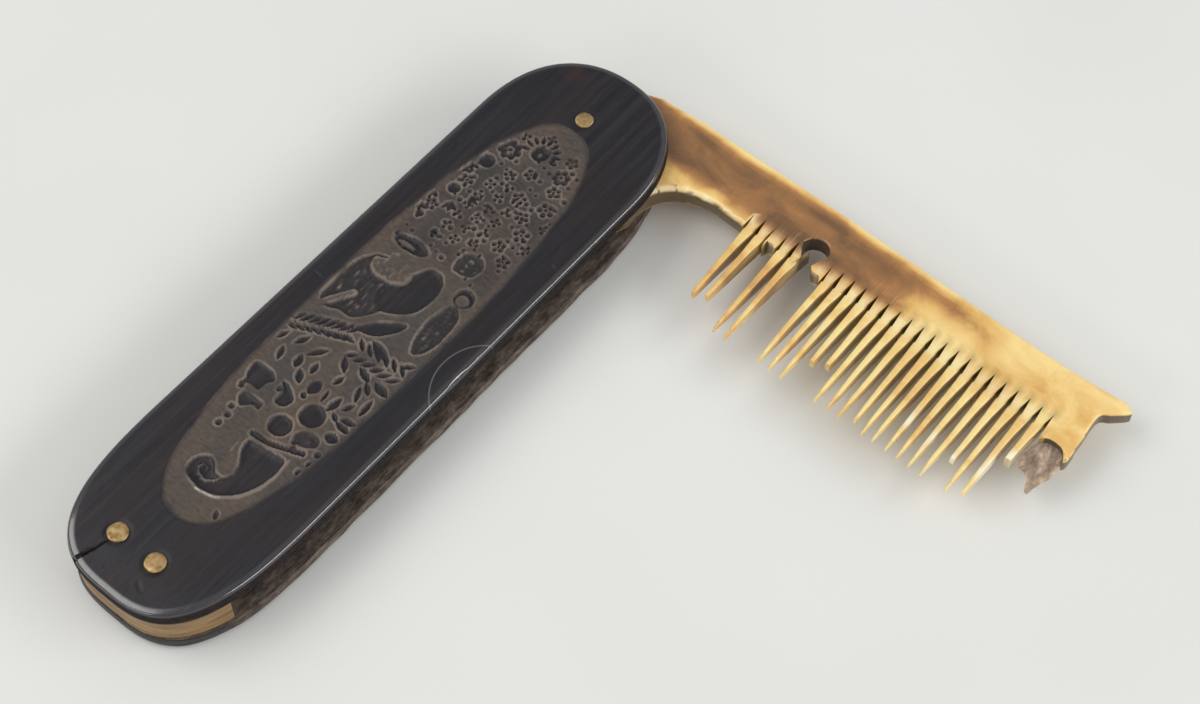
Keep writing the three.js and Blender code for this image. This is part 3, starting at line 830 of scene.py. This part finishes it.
bevel_edges(comb, 1.0, comb_bevel, 3)
half_teeth = FIRST_TOOTH + np.arange(0, 60) * TOOTH_PITCH / 2
bisect_all(comb, "y", PIVOT_Y - np.concatenate([np.arange(-9, 30, 1.2), half_teeth]))
bisect_all(comb, "x", PIVOT_X + np.arange(3.2, 12.9, 0.9))
bisect_all(comb, "z", (COMB_MID - 1.2, COMB_MID - 0.4, COMB_MID + 0.4))
report(comb)

# %% [markdown]
# ## Hand work on the comb
#
# No tooth is quite like the next: each leans its own way and has its own slight bend. The blade
# isn't quite flat, and the hollow behind the first tooth is ragged. The corners are moved by small
# random hills, and at last kept inside the CAD piece's own box.

# %% Hand work on the comb
xyz = points(comb)
x, y, z = xyz.T
u, v = PIVOT_Y - y, x - PIVOT_X
above = np.sign(z - COMB_MID)
tooth = np.rint((u - FIRST_TOOTH) / TOOTH_PITCH)
down_tooth = np.clip((SLOT_MOUTH - v) / TOOTH_LENGTH, 0, 1) * (u > TEETH_START) * (tooth <= LAST_TOOTH)
lean = np.random.default_rng(41).uniform(-1, 1, 40)[np.clip(tooth, 0, 39).astype(int)]
from_middle = y - (PIVOT_Y - FIRST_TOOTH - TOOTH_PITCH * tooth)
xyz[:, 1] -= 0.2 * from_middle * ease(down_tooth * 6)
xyz[:, 1] -= down_tooth * (0.16 * lean + 0.12 * hills(v, tooth * 9.1, 6, 42))
blade = 1 - ease(down_tooth * 4)
planed = above * 0.03 * (1 + hills(u, v, 1.7, 44)) * blade
xyz[:, 2] += 0.05 * blade * hills(u, v, 7, 43) - planed
ragged = ease((26.5 - np.abs(u - 24)) / 4) * ease((4.6 - v) / 1.5) * (u > 19) * (v > 0)
xyz[:, 2] -= above * ragged * 0.35 * np.abs(hills(u, v, 0.9, 45))
xyz[:, 0] += ragged * 0.2 * hills(u, v, 1.1, 46)
low, high = (np.array(corner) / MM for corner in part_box("comb"))
xyz = np.clip(xyz, low, high)
set_points(comb, xyz)
print(f"comb, worked: {len(xyz)} corners")

# %% [markdown]
# ## A last scrap of a tooth
#
# The end tooth broke off and took a bite out of the blade. What is left is a thin grey-brown
# flake, a few of the horn's layers thick. It starts as a round disc whose rim is pulled to the
# torn outline, is extruded to its thickness, and is joined into the comb, since it is the same
# piece of horn.

# %% Flake
TORN = [(84.9, -1.2), (84.7, -3.0), (85.5, -4.4), (86.7, -4.6), (87.6, -5.6), (88.3, -6.9),
        (88.9, -7.3), (89.2, -6.1), (89.5, -4.6), (90.1, -3.2), (90.0, -1.9), (90.3, -0.4),
        (89.7, 0.9), (88.6, 1.9), (86.9, 1.9), (85.6, 0.9)]
FLAKE_THICKNESS = 0.45
STEPS = 4                            # corners from one point of the outline to the next

bpy.ops.mesh.primitive_circle_add(vertices=len(TORN) * STEPS, radius=3 * MM, fill_type="NGON")
flake = bpy.context.object
flake.name = "flake"
rim = np.array(TORN + TORN[:1])
at = np.linspace(0, len(TORN), len(TORN) * STEPS, endpoint=False)
torn_u, torn_v = (np.interp(at, np.arange(len(rim)), rim[:, i]) for i in (0, 1))
torn_u = torn_u + 0.12 * hills(at, at, 0.9, 51)
torn_v = torn_v + 0.12 * hills(at, at, 0.9, 52)
under = np.full_like(at, COMB_MID - FLAKE_THICKNESS)
set_points(flake, np.stack([PIVOT_X + torn_v, PIVOT_Y - torn_u, under], 1))
edit(flake)
bpy.ops.mesh.select_all(action="SELECT")
bpy.ops.mesh.extrude_region_move(TRANSFORM_OT_translate={"value": (0, 0, FLAKE_THICKNESS * MM)})
bpy.ops.mesh.select_all(action="SELECT")
bpy.ops.mesh.normals_make_consistent(inside=False)
leave_edit()
bisect_all(flake, "x", PIVOT_X + np.arange(-7, 2, 0.5))
bisect_all(flake, "y", PIVOT_Y - np.arange(85, 90.5, 0.5))
xyz = points(flake)
x, y, z = xyz.T
curl = 0.1 * ease((PIVOT_X - x) / 6)
xyz[:, 2] += np.where(z > COMB_MID - 0.2, 1, -0.4) * 0.22 * hills(x, y, 1.6, 53) - curl
set_points(flake, xyz)
report(flake)

# %% [markdown]
# ## Rivets
#
# Each rivet is a brass pin. It was pushed through the plates and hammered over at both ends, so
# its head is almost flat, with a soft edge, shallow dents and a rim that isn't quite round. A
# cylinder with a bevel would look machined. Here a filled circle is extruded ring by ring along a
# profile of radius and height, and the head is then dented.

# %% Turn the three pins
def turn_pin(name, place, profile, seed):
    (first_radius, low), *rest = profile
    bpy.ops.mesh.primitive_circle_add(vertices=48, radius=first_radius * MM, fill_type="NGON",
                                      location=(0, 0, low * MM))
    bpy.ops.object.transform_apply()
    pin = bpy.context.object
    pin.name = pin.data.name = name
    radius = first_radius
    edit(pin)
    bpy.ops.mesh.select_all(action="SELECT")
    for next_radius, z in rest:
        bpy.ops.mesh.extrude_region_move()
        leave_edit()
        ring = selected(pin)
        xyz = points(pin)
        xyz[ring, :2] *= next_radius / radius
        xyz[ring, 2] = z
        set_points(pin, xyz)
        radius = next_radius
        bpy.ops.object.mode_set(mode="EDIT")
    bpy.ops.mesh.select_all(action="SELECT")
    bpy.ops.mesh.normals_make_consistent(inside=False)
    leave_edit()
    xyz = points(pin)
    x, y, z = xyz.T
    head = z > TOP_FACE - 0.05
    xyz[:, 0] *= 1 + 0.04 * head * hills(np.arctan2(y, x) + 4, z * 0, 0.8, seed)
    xyz[:, 1] *= 1 + 0.04 * head * hills(np.arctan2(y, x) + 9, z * 0, 0.8, seed)
    blows = np.minimum(0.0, 0.05 * hills(x + 50, y + 50, 0.9, seed + 1))
    xyz[:, 2] += np.where(z > TOP_FACE + 0.02, blows, 0) - np.where(z < 0.2, blows, 0)
    xyz[:, 0] += place[0]
    xyz[:, 1] += place[1]
    set_points(pin, xyz)
    smooth(pin, 40)
    report(pin)
    return pin


def pin_profile(shank, head):
    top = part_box("pivot_rivet")[1][2] / MM
    rise = top - TOP_FACE
    dome = [(head * r, TOP_FACE + rise * z) for r, z in
            ((0.985, 0.4), (0.94, 0.68), (0.86, 0.84), (0.66, 0.93), (0.4, 0.98), (0.12, 1.0))]
    return [(0.5, 0.12), (1.2, 0.11), (1.7, 0.14), (1.92, 0.22), (shank, 0.95), (shank, 4), (shank, 8),
            (shank, TOP_FACE - 0.2), (head * 0.99, TOP_FACE - 0.12), (head, TOP_FACE), *dome]


PIN_RADII = {"butt_rivet_left": (1.4, 1.6), "butt_rivet_right": (1.4, 1.6), "pivot_rivet": (1.3, 1.45)}
rivets = {each: turn_pin(each.replace("rivet", "pin"), place, pin_profile(*PIN_RADII[each]), 61 + n)
          for n, (each, place) in enumerate(RIVETS.items())}

# %% [markdown]
# ## How the finishes are made
#
# A material here starts from what the real thing is. `linear` turns a colour as it is seen on a
# screen into the light that a shader adds up, `begin` sets what is the same all over a surface,
# and `node` adds one node with its settings and its links. `pattern` lays out cloudy noise in real
# sizes: object coordinates are metres, so a scale of 1000 / s makes patches s millimetres across.
# What differs from place to place is a number on the corners, which an attribute node reads.

# %% Small helpers for materials
COLOURS = {"out": 2, "data_type": "RGBA"}
NUMBERS = {"data_type": "FLOAT"}
PRODUCT, SUM, DIFFERENCE = ({"operation": each} for each in ("MULTIPLY", "ADD", "SUBTRACT"))
CORNERS = {"out": "Fac"}


def linear(code):
    parts = [int(code[i:i + 2], 16) / 255 for i in (1, 3, 5)]
    return [c / 12.92 if c <= 0.04045 else ((c + 0.055) / 1.055) ** 2.4 for c in parts] + [1]


def begin(name, **constants):
    material = bpy.data.materials.new(name)
    material.use_nodes = True
    shader = material.node_tree.nodes["Principled BSDF"]
    for key, value in constants.items():
        shader.inputs[key.replace("_", " ")].default_value = value
    return material, material.node_tree


def node(tree, kind, inputs=None, out=0, stops=None, **settings):
    """One node: its settings, then a socket, a value or a hex colour for each input. Gives one
    output. Stops are for a colour ramp: places, each with a hex colour or a shade of grey."""
    made = tree.nodes.new("ShaderNode" + kind)
    for key, value in settings.items():
        setattr(made, key, value)
    for key, value in (inputs or {}).items():
        if isinstance(value, bpy.types.NodeSocket):
            tree.links.new(value, made.inputs[key])
        else:
            made.inputs[key].default_value = linear(value) if isinstance(value, str) else value
    if stops:
        ramp = made.color_ramp.elements
        while len(ramp) < len(stops):
            ramp.new(0.5)
        for element, (place, colour) in zip(ramp, stops):
            element.position = place
            element.color = linear(colour) if isinstance(colour, str) else (colour,) * 3 + (1,)
    return made.outputs[out]


def pattern(tree, sizes_mm, **look):
    """Noise whose patches have these sizes along x, y and z."""
    here = node(tree, "TexCoord", out="Object")
    laid_out = node(tree, "Mapping", {"Vector": here, "Scale": [1000 / s for s in sizes_mm]})
    return node(tree, "TexNoise", {"Vector": laid_out, "Scale": 1, **look})


def complete(material, **sockets):
    """Links each socket to the shader's input of that name, and counts the nodes."""
    shader = material.node_tree.nodes["Principled BSDF"]
    for key, socket in sockets.items():
        material.node_tree.links.new(socket, shader.inputs[key.replace("_", " ")])
    print(f"{material.name}: {len(material.node_tree.nodes)} nodes")


# %% [markdown]
# ## Ebonised wood, polished by hands
#
# The carved plate is a dense hardwood stained nearly black: brown streaks and open pores run
# along it under an old wax polish. Wax gives it a soft sheen that is sharper where hands have
# rubbed it. Grey-brown dust lies in the low ground of the carving, where no cloth reaches. One
# noise for everything would look like stone, so grain, pores and slow changes of tone are three
# patterns, each drawn out along the plate by its own length.

# %% Grain of the wood
def wood_pattern(tree, streak_mm, along_mm):
    """Streaks and pores that run along x, and slow changes of tone."""
    streaks = pattern(tree, (along_mm, streak_mm, streak_mm), Detail=5, Roughness=0.62, Distortion=0.4)
    pores = pattern(tree, (3.2, 0.22, 0.22), Detail=2, Roughness=0.6)
    tone = pattern(tree, (22, 9, 9), Detail=3)
    return streaks, pores, tone


# %% Ebonised wood, its colour
ebonised, tree = begin("ebonised hardwood", IOR=1.45, Coat_Roughness=0.14, Coat_IOR=1.75)
streaks, pores, tone = wood_pattern(tree, 1.1, 26)
dust, side, polished, rubbed_and_highlight = (node(tree, "Attribute", attribute_name=each, **CORNERS)
                                for each in ("dust", "side", "polished", "rubbed_and_highlight"))
warm = node(tree, "ValToRGB", {"Fac": tone}, stops=[(0.45, 0.0), (0.75, 0.5)])
open_pores = node(tree, "ValToRGB", {"Fac": pores}, stops=[(0.30, 1.0), (0.40, 0.0)])
crumbs = pattern(tree, (0.5, 1.3, 0.8), Detail=5, Roughness=0.62)
patchy = node(tree, "MapRange", {"Value": crumbs, "From Min": 0.34, "From Max": 0.6,
                                 "To Min": 0.55, "To Max": 1.0})
dusty = node(tree, "Math", {0: dust, 1: patchy}, **PRODUCT)
dust_colour = node(tree, "ValToRGB", {"Fac": tone}, stops=[(0.35, "#4b4540"), (0.65, "#5f5044")])
# Colour of the plate's sides: raw wood, made darker as painted shade along the slot.
raw_side_and_shade = node(tree, "ValToRGB", {"Fac": crumbs}, stops=[(0.35, "#1b1716"), (0.65, "#352c28")])

# %% [markdown]
# A thin scratch curves over one edge, part of a circle, and a reddish smear lies by the pivot.
# Each is a distance from one place on the plate, which keeps it exact without a picture.

# %% Scratch and smear
ARC_CENTRE, ARC_RADIUS = (-0.0002, -0.0205, 0.0102), 0.0085
SMEAR_CENTRE = (0.0527, 0.0072, 0.0102)

here = node(tree, "TexCoord", out="Object")
from_centre = node(tree, "VectorMath", {0: here, 1: ARC_CENTRE}, 1, operation="DISTANCE")
off_arc = node(tree, "Math", {0: from_centre, 1: ARC_RADIUS}, **DIFFERENCE)
off_arc = node(tree, "Math", {0: off_arc}, operation="ABSOLUTE")
arc = node(tree, "MapRange", {"Value": off_arc, "From Min": 0.00006, "From Max": 0.00014,
                              "To Min": 0.6, "To Max": 0.0})
from_smear = node(tree, "VectorMath", {0: here, 1: SMEAR_CENTRE}, 1, operation="DISTANCE")
ragged_edge = node(tree, "Math", {0: pores, 1: 0.002}, **PRODUCT)
from_smear = node(tree, "Math", {0: from_smear, 1: ragged_edge}, **SUM)
smear = node(tree, "MapRange", {"Value": from_smear, "From Min": 0.0018, "From Max": 0.0036,
                                "To Min": 0.5, "To Max": 0.0})
print("scratch of radius", ARC_RADIUS / MM, "mm, and a smear")

# %% Ebonised wood, coat by coat
# The cool blue-grey of the darkest stops is a painted sheen; the brown streaks are the wood's own.
base = node(tree, "ValToRGB", {"Fac": streaks},
            stops=[(0.3, "#151419"), (0.5, "#1f1d22"), (0.64, "#2b2526"), (0.8, "#40332c")])
# Coats over the base: warm tone, open pores, dust, ridges paler from wear and a painted highlight along
# with the painted bright line on the horn, the scratch, the smear, and the sides darkened as painted shade.
for share, colour in (
        (warm, "#2a1d19"), (node(tree, "Math", {0: open_pores, 1: 0.55}, **PRODUCT), "#080707"),
        (dusty, dust_colour), (node(tree, "Math", {0: rubbed_and_highlight, 1: 0.7}, **PRODUCT), "#85776b"),
        (arc, "#6f6a68"), (smear, "#3c1f1b"), (node(tree, "Math", {0: side, 1: 0.8}, **PRODUCT), raw_side_and_shade)):
    base = node(tree, "Mix", {0: share, 6: base, 7: colour}, **COLOURS)

# %% Ebonised wood, its sheen and relief
polish = node(tree, "MapRange", {"Value": streaks, "From Min": 0.3, "From Max": 0.7,
                                 "To Min": 0.38, "To Max": 0.52})
matt = node(tree, "Math", {0: dusty, 1: side}, operation="MAXIMUM")
dull = node(tree, "Mix", {0: matt, 2: polish, 3: 0.75}, **NUMBERS)
relief = node(tree, "Math", {0: node(tree, "Math", {0: streaks, 1: 0.5}, **PRODUCT), 1: open_pores},
              **DIFFERENCE)
relief = node(tree, "Math", {0: relief, 1: node(tree, "Math", {0: dusty, 1: crumbs}, **PRODUCT)}, **SUM)
complete(ebonised, Base_Color=base,
         Roughness=node(tree, "Mix", {0: polished, 2: dull, 3: 0.16}, **NUMBERS),
         Coat_Weight=polished,
         Specular_IOR_Level=node(tree, "MapRange", {"Value": side, "To Min": 0.42, "To Max": 0.12}),
         Normal=node(tree, "Bump", {"Strength": 0.3, "Distance": 0.00008, "Height": relief}))

# %% [markdown]
# ## Bare wood from the saw
#
# The plain plate is the same wood, but inside it never saw stain or wax. It is dull and brown, and
# blackened only on its outer face and over its butt end. The number `stained` on its corners says
# where, so one material does for both, with a soft border between them.

# %% Bare wood
bare, tree = begin("sawn hardwood", IOR=1.45)
streaks, pores, _ = wood_pattern(tree, 0.9, 18)
stained = node(tree, "Attribute", attribute_name="stained", **CORNERS)
blotches = pattern(tree, (2.6, 1.1, 1.1), Detail=5, Roughness=0.7)
open_pores = node(tree, "ValToRGB", {"Fac": pores}, stops=[(0.34, 1.0), (0.44, 0.0)])
base = node(tree, "ValToRGB", {"Fac": blotches},
            stops=[(0.3, "#3a322e"), (0.46, "#584d47"), (0.58, "#6f6258"), (0.74, "#8d7e6e")])
outer = node(tree, "ValToRGB", {"Fac": streaks},
             stops=[(0.3, "#121011"), (0.55, "#1e1918"), (0.8, "#352920")])
for share, colour in ((stained, outer),
                      (node(tree, "Math", {0: open_pores, 1: 0.35}, **PRODUCT), "#1c1614")):
    base = node(tree, "Mix", {0: share, 6: base, 7: colour}, **COLOURS)
relief = node(tree, "Math", {0: blotches, 1: open_pores}, **DIFFERENCE)
complete(bare, Base_Color=base,
         Roughness=node(tree, "MapRange", {"Value": stained, "To Min": 0.85, "To Max": 0.36}),
         Specular_IOR_Level=node(tree, "MapRange", {"Value": stained, "To Min": 0.15, "To Max": 0.5}),
         Normal=node(tree, "Bump", {"Strength": 0.5, "Distance": 0.0001, "Height": relief}))

# %% [markdown]
# ## Horn
#
# Cow horn is keratin in thin layers, clear enough that light goes in and comes out a few
# millimetres away: thin edges glow pale yellow and the thick middle is a cloudy brown. It was
# scraped and polished, so it is glossy under a web of fine scratches, and dirt has stained it
# brown where the saw left the foot of each slot. The clouds set the depth of its colour, and
# subsurface light does the rest, which a plain painted brown could not.

# %% Horn of the comb
comb_horn, tree = begin("comb horn", IOR=1.54, Subsurface_Weight=0.35, Subsurface_Scale=0.0016,
                        Subsurface_Radius=(1.0, 0.55, 0.2), Coat_Weight=0.3, Coat_Roughness=0.12)
cloud, scratched, stain_and_shade, frayed_and_highlight = (node(tree, "Attribute", attribute_name=each, **CORNERS)
                                   for each in ("cloud", "scratched", "stain_and_shade", "frayed_and_highlight"))
wisps = pattern(tree, (5, 9, 9), Detail=4, Roughness=0.55, Distortion=0.6)
wisps = node(tree, "MapRange", {"Value": wisps, "From Min": 0.3, "From Max": 0.7,
                                "To Min": -0.22, "To Max": 0.22})
depth = node(tree, "Math", {0: cloud, 1: wisps}, **SUM)
base = node(tree, "ValToRGB", {"Fac": depth},
            stops=[(0.0, "#f8da93"), (0.3, "#e4b769"), (0.6, "#b07c45"), (1.0, "#785432")])
saw = pattern(tree, (9, 0.28, 9), Detail=3, Roughness=0.7)
scratches = node(tree, "ValToRGB", {"Fac": saw}, stops=[(0.55, 0.0), (0.68, 1.0)])
pale_marks = node(tree, "Math", {0: scratches, 1: scratched}, **PRODUCT)
# Pale scratches; dark brown for dirt at the slot feet and painted shade on the walls; pale for frayed tips
# and the painted highlight on the tooth shoulders.
for share, colour in ((pale_marks, "#f3dca6"), (stain_and_shade, "#36271c"), (frayed_and_highlight, "#f6ecd0")):
    base = node(tree, "Mix", {0: share, 6: base, 7: colour}, **COLOURS)
complete(comb_horn, Base_Color=base,
         Roughness=node(tree, "MapRange", {"Value": saw, "From Min": 0.3, "From Max": 0.7,
                                           "To Min": 0.26, "To Max": 0.38}),
         Normal=node(tree, "Bump", {"Strength": 0.12, "Distance": 0.00005, "Height": saw}))

# %% [markdown]
# The flake at the comb's end is torn across its layers, so it is rough, greyer and not polished.
# The spacer's edge shows its layers side on, as thin brown lines along the block.

# %% Torn horn and the spacer's horn
torn_horn, tree = begin("torn horn", IOR=1.54, Subsurface_Weight=0.5, Subsurface_Scale=0.002,
                        Subsurface_Radius=(1.0, 0.8, 0.6), Roughness=0.45)
layers = pattern(tree, (1.6, 0.8, 1.6), Detail=4, Roughness=0.65)
complete(torn_horn,
         Base_Color=node(tree, "ValToRGB", {"Fac": layers},
                         stops=[(0.3, "#6f5d4e"), (0.5, "#988574"), (0.7, "#c9b49c")]),
         Normal=node(tree, "Bump", {"Strength": 0.4, "Distance": 0.00012, "Height": layers}))

block_horn, tree = begin("spacer horn", IOR=1.54, Subsurface_Weight=0.3, Subsurface_Scale=0.0015,
                         Subsurface_Radius=(1.0, 0.6, 0.3))
layers = pattern(tree, (14, 14, 0.5), Detail=4, Roughness=0.6)
complete(block_horn,
         Base_Color=node(tree, "ValToRGB", {"Fac": layers},
                         stops=[(0.3, "#553d22"), (0.45, "#7c5e36"), (0.6, "#967646"), (0.76, "#b8975f")]),
         Roughness=node(tree, "MapRange", {"Value": layers, "To Min": 0.5, "To Max": 0.22}),
         Normal=node(tree, "Bump", {"Strength": 0.4, "Distance": 0.0001, "Height": layers}))

# %% [markdown]
# ## Brass
#
# Soft yellow brass, never polished since it was hammered: the high spots are worn bright, and
# brown tarnish stays in the hollows. One fine noise sets colour, roughness and dents together, so
# that the dark spots are also the rough and low ones, as on the real metal.

# %% Brass
brass, tree = begin("tarnished brass", Metallic=1.0)
tarnish = pattern(tree, (0.9, 0.9, 0.9), Detail=5, Roughness=0.7)
complete(brass,
         Base_Color=node(tree, "ValToRGB", {"Fac": tarnish},
                         stops=[(0.32, "#8a6f45"), (0.5, "#b09467"), (0.68, "#c9ae80")]),
         Roughness=node(tree, "MapRange", {"Value": tarnish, "From Min": 0.3, "From Max": 0.7,
                                           "To Min": 0.68, "To Max": 0.46}),
         Normal=node(tree, "Bump", {"Strength": 0.35, "Distance": 0.00008, "Height": tarnish}))

# %% [markdown]
# ## The table
#
# Matt pale grey card, with the faintest mottle, so that it doesn't look like an empty background.

# %% Table
card, tree = begin("pale grey card", Roughness=0.85)
here = node(tree, "TexCoord", out="Object")
mottle = node(tree, "TexNoise", {"Vector": here, "Scale": 14, "Detail": 2})
complete(card, Base_Color=node(tree, "ValToRGB", {"Fac": mottle},
                               stops=[(0.3, "#dddcd6"), (0.7, "#e2e1dc")]))
floor.data.materials.append(card)

# %% [markdown]
# ## Clouds, stains, frayed tips and painted light
#
# Where the horn is brown and where it is pale follows the comb's own plan: cloudy along the blade
# near the pivot, stained at the foot of each slot, pale where it is chipped or frayed. Its walls,
# picked out by the way they face, are coloured darker: some dirt down the saw cuts, and painted
# shade. The sloping shoulders of the teeth are coloured paler as a painted highlight. A noise
# can't know where the teeth are, so each tone is a number on the comb's corners, worked out from
# how far along the blade and how far up from the teeth they lie.

# %% Clouds along the blade
xyz = points(comb)
x, y, z = xyz.T
u, v = PIVOT_Y - y, x - PIVOT_X
normal = np.empty(len(xyz) * 3, dtype=np.float32)
comb.data.vertex_normals.foreach_get("vector", normal)
normal = normal.reshape(-1, 3)
# Walls facing sideways and away from +x, coloured darker below as painted shade.
shaded_wall = ease((0.62 - np.abs(normal[:, 2])) / 0.4) * ease((0.6 - normal[:, 0]) / 0.3)
chamfer = ease((0.985 - normal[:, 2]) / 0.06) * (normal[:, 2] > 0.45)
cloud = 0.8 * ease((v - 2.2) / 4) * ease((13.2 - v) / 1.6) * (1 - ease((u - 46 - 1.1 * (v - 7)) / 20))
cloud += 0.14 * ease((v - 8) / 2) * ease((12.6 - v) / 2) * ease((u - 48) / 8) * ease((74 - u) / 8)
cloud += 0.3 * np.exp(-((u - 83) / 5) ** 2 - ((v - 7.5) / 2.4) ** 2)
cloud += 0.25 * ease((3 - v) / 6) * (u < 45) + 0.14 * hills(u, v, 5, 47)
cloud = np.clip(cloud + 0.1 - 0.3 * chamfer * (u < 30), 0, 1)
write(comb, "cloud", cloud)
print(f"brown clouds: {100 * (cloud > 0.5).mean():.0f}% of the corners")

# %% Stains with painted shade, scratches, frayed tips and painted highlights
slot_phase = np.abs((u - FIRST_TOOTH) / TOOTH_PITCH - np.floor((u - FIRST_TOOTH) / TOOTH_PITCH) - 0.5)
at_slots = (u > 30) * (u < 85) * np.exp(-((v - SLOT_ROOT) / 1.1) ** 2) * ease((0.35 - slot_phase) / 0.35)
shaded_tooth_wall = shaded_wall * (u > TEETH_START) * ease((v + 13) / 9)
on_teeth = (v < 2.4) & (u > TEETH_START) & (u < 86)
# Brown dirt at the slot feet, and painted shade on the walls, lighter on the teeth.
stain_and_shade = 0.35 * at_slots + np.where(on_teeth, 0.5 * shaded_tooth_wall, 0.9 * shaded_wall)
write(comb, "stain_and_shade", np.clip(stain_and_shade, 0, 0.9))
marks = ease((v - SLOT_MOUTH) / 2) * ease((9 - v) / 4) * ease((u - 31) / 8) * ease((64 - u) / 12)
write(comb, "scratched", 0.5 * marks * ease(0.6 + hills(u, v, 4, 48)) * (v < 11))
tips = np.zeros(len(xyz))
FRAYED_TEETH = {18: -5.5, 20: -8, 22: -8.4, 24: -5.2, 25: -2.6}     # and where each starts to fray
for index, start in FRAYED_TEETH.items():
    this_tooth = np.abs(u - FIRST_TOOTH - TOOTH_PITCH * index) < 0.9
    tips = np.maximum(tips, this_tooth * ease((start - v) / 1.2) * ease((v - start + 5) / 1.6)
                      * ease(0.8 + hills(u, v, 1.1, 49)))
# A painted highlight: the shoulders of the teeth, where their tops slope down, are coloured pale.
shoulder_highlight = ease(1 - np.abs(v - 3.2) / 1.6) * ease((slot_phase - 0.2) / 0.2) * (u > 30) * (u < 82)
ragged_rim = chamfer * (u < 30) * (v < 6) * ease(0.7 + hills(u, v, 0.8, 50))
write(comb, "frayed_and_highlight", np.clip(0.95 * tips + 0.4 * shoulder_highlight + 0.4 * ragged_rim, 0, 1))

# %% Join the flake on
only(comb, flake)
comb.data.materials.append(comb_horn)
flake.data.materials.append(torn_horn)
bpy.ops.object.join()
smooth(comb, 38)
report(comb)

# %% [markdown]
# ## Put together
#
# Every piece already lies in its place, so all that is left is to say which finish it has, which
# body it moves with, and which CAD solid it stands for.

# %% Finishes and bodies
for piece, node_name, body, slot_name, material in (
        (top_scale, "top_scale", "case", "carved_wood", ebonised),
        (bottom_scale, "bottom_scale", "case", "plain_wood", bare),
        (butt_spacer, "butt_spacer", "case", "spacer_horn", block_horn),
        (comb, "comb", "comb", "comb_horn", None),
        *((rivets[each], each, "case", "brass", brass) for each in RIVETS)):
    if material:
        piece.data.materials.append(material)
    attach(piece, body)
    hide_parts(node_name)
    print(f"{piece.name} rides {body} in place of {node_name}")

# %% Update the scene
bpy.context.view_layer.update()
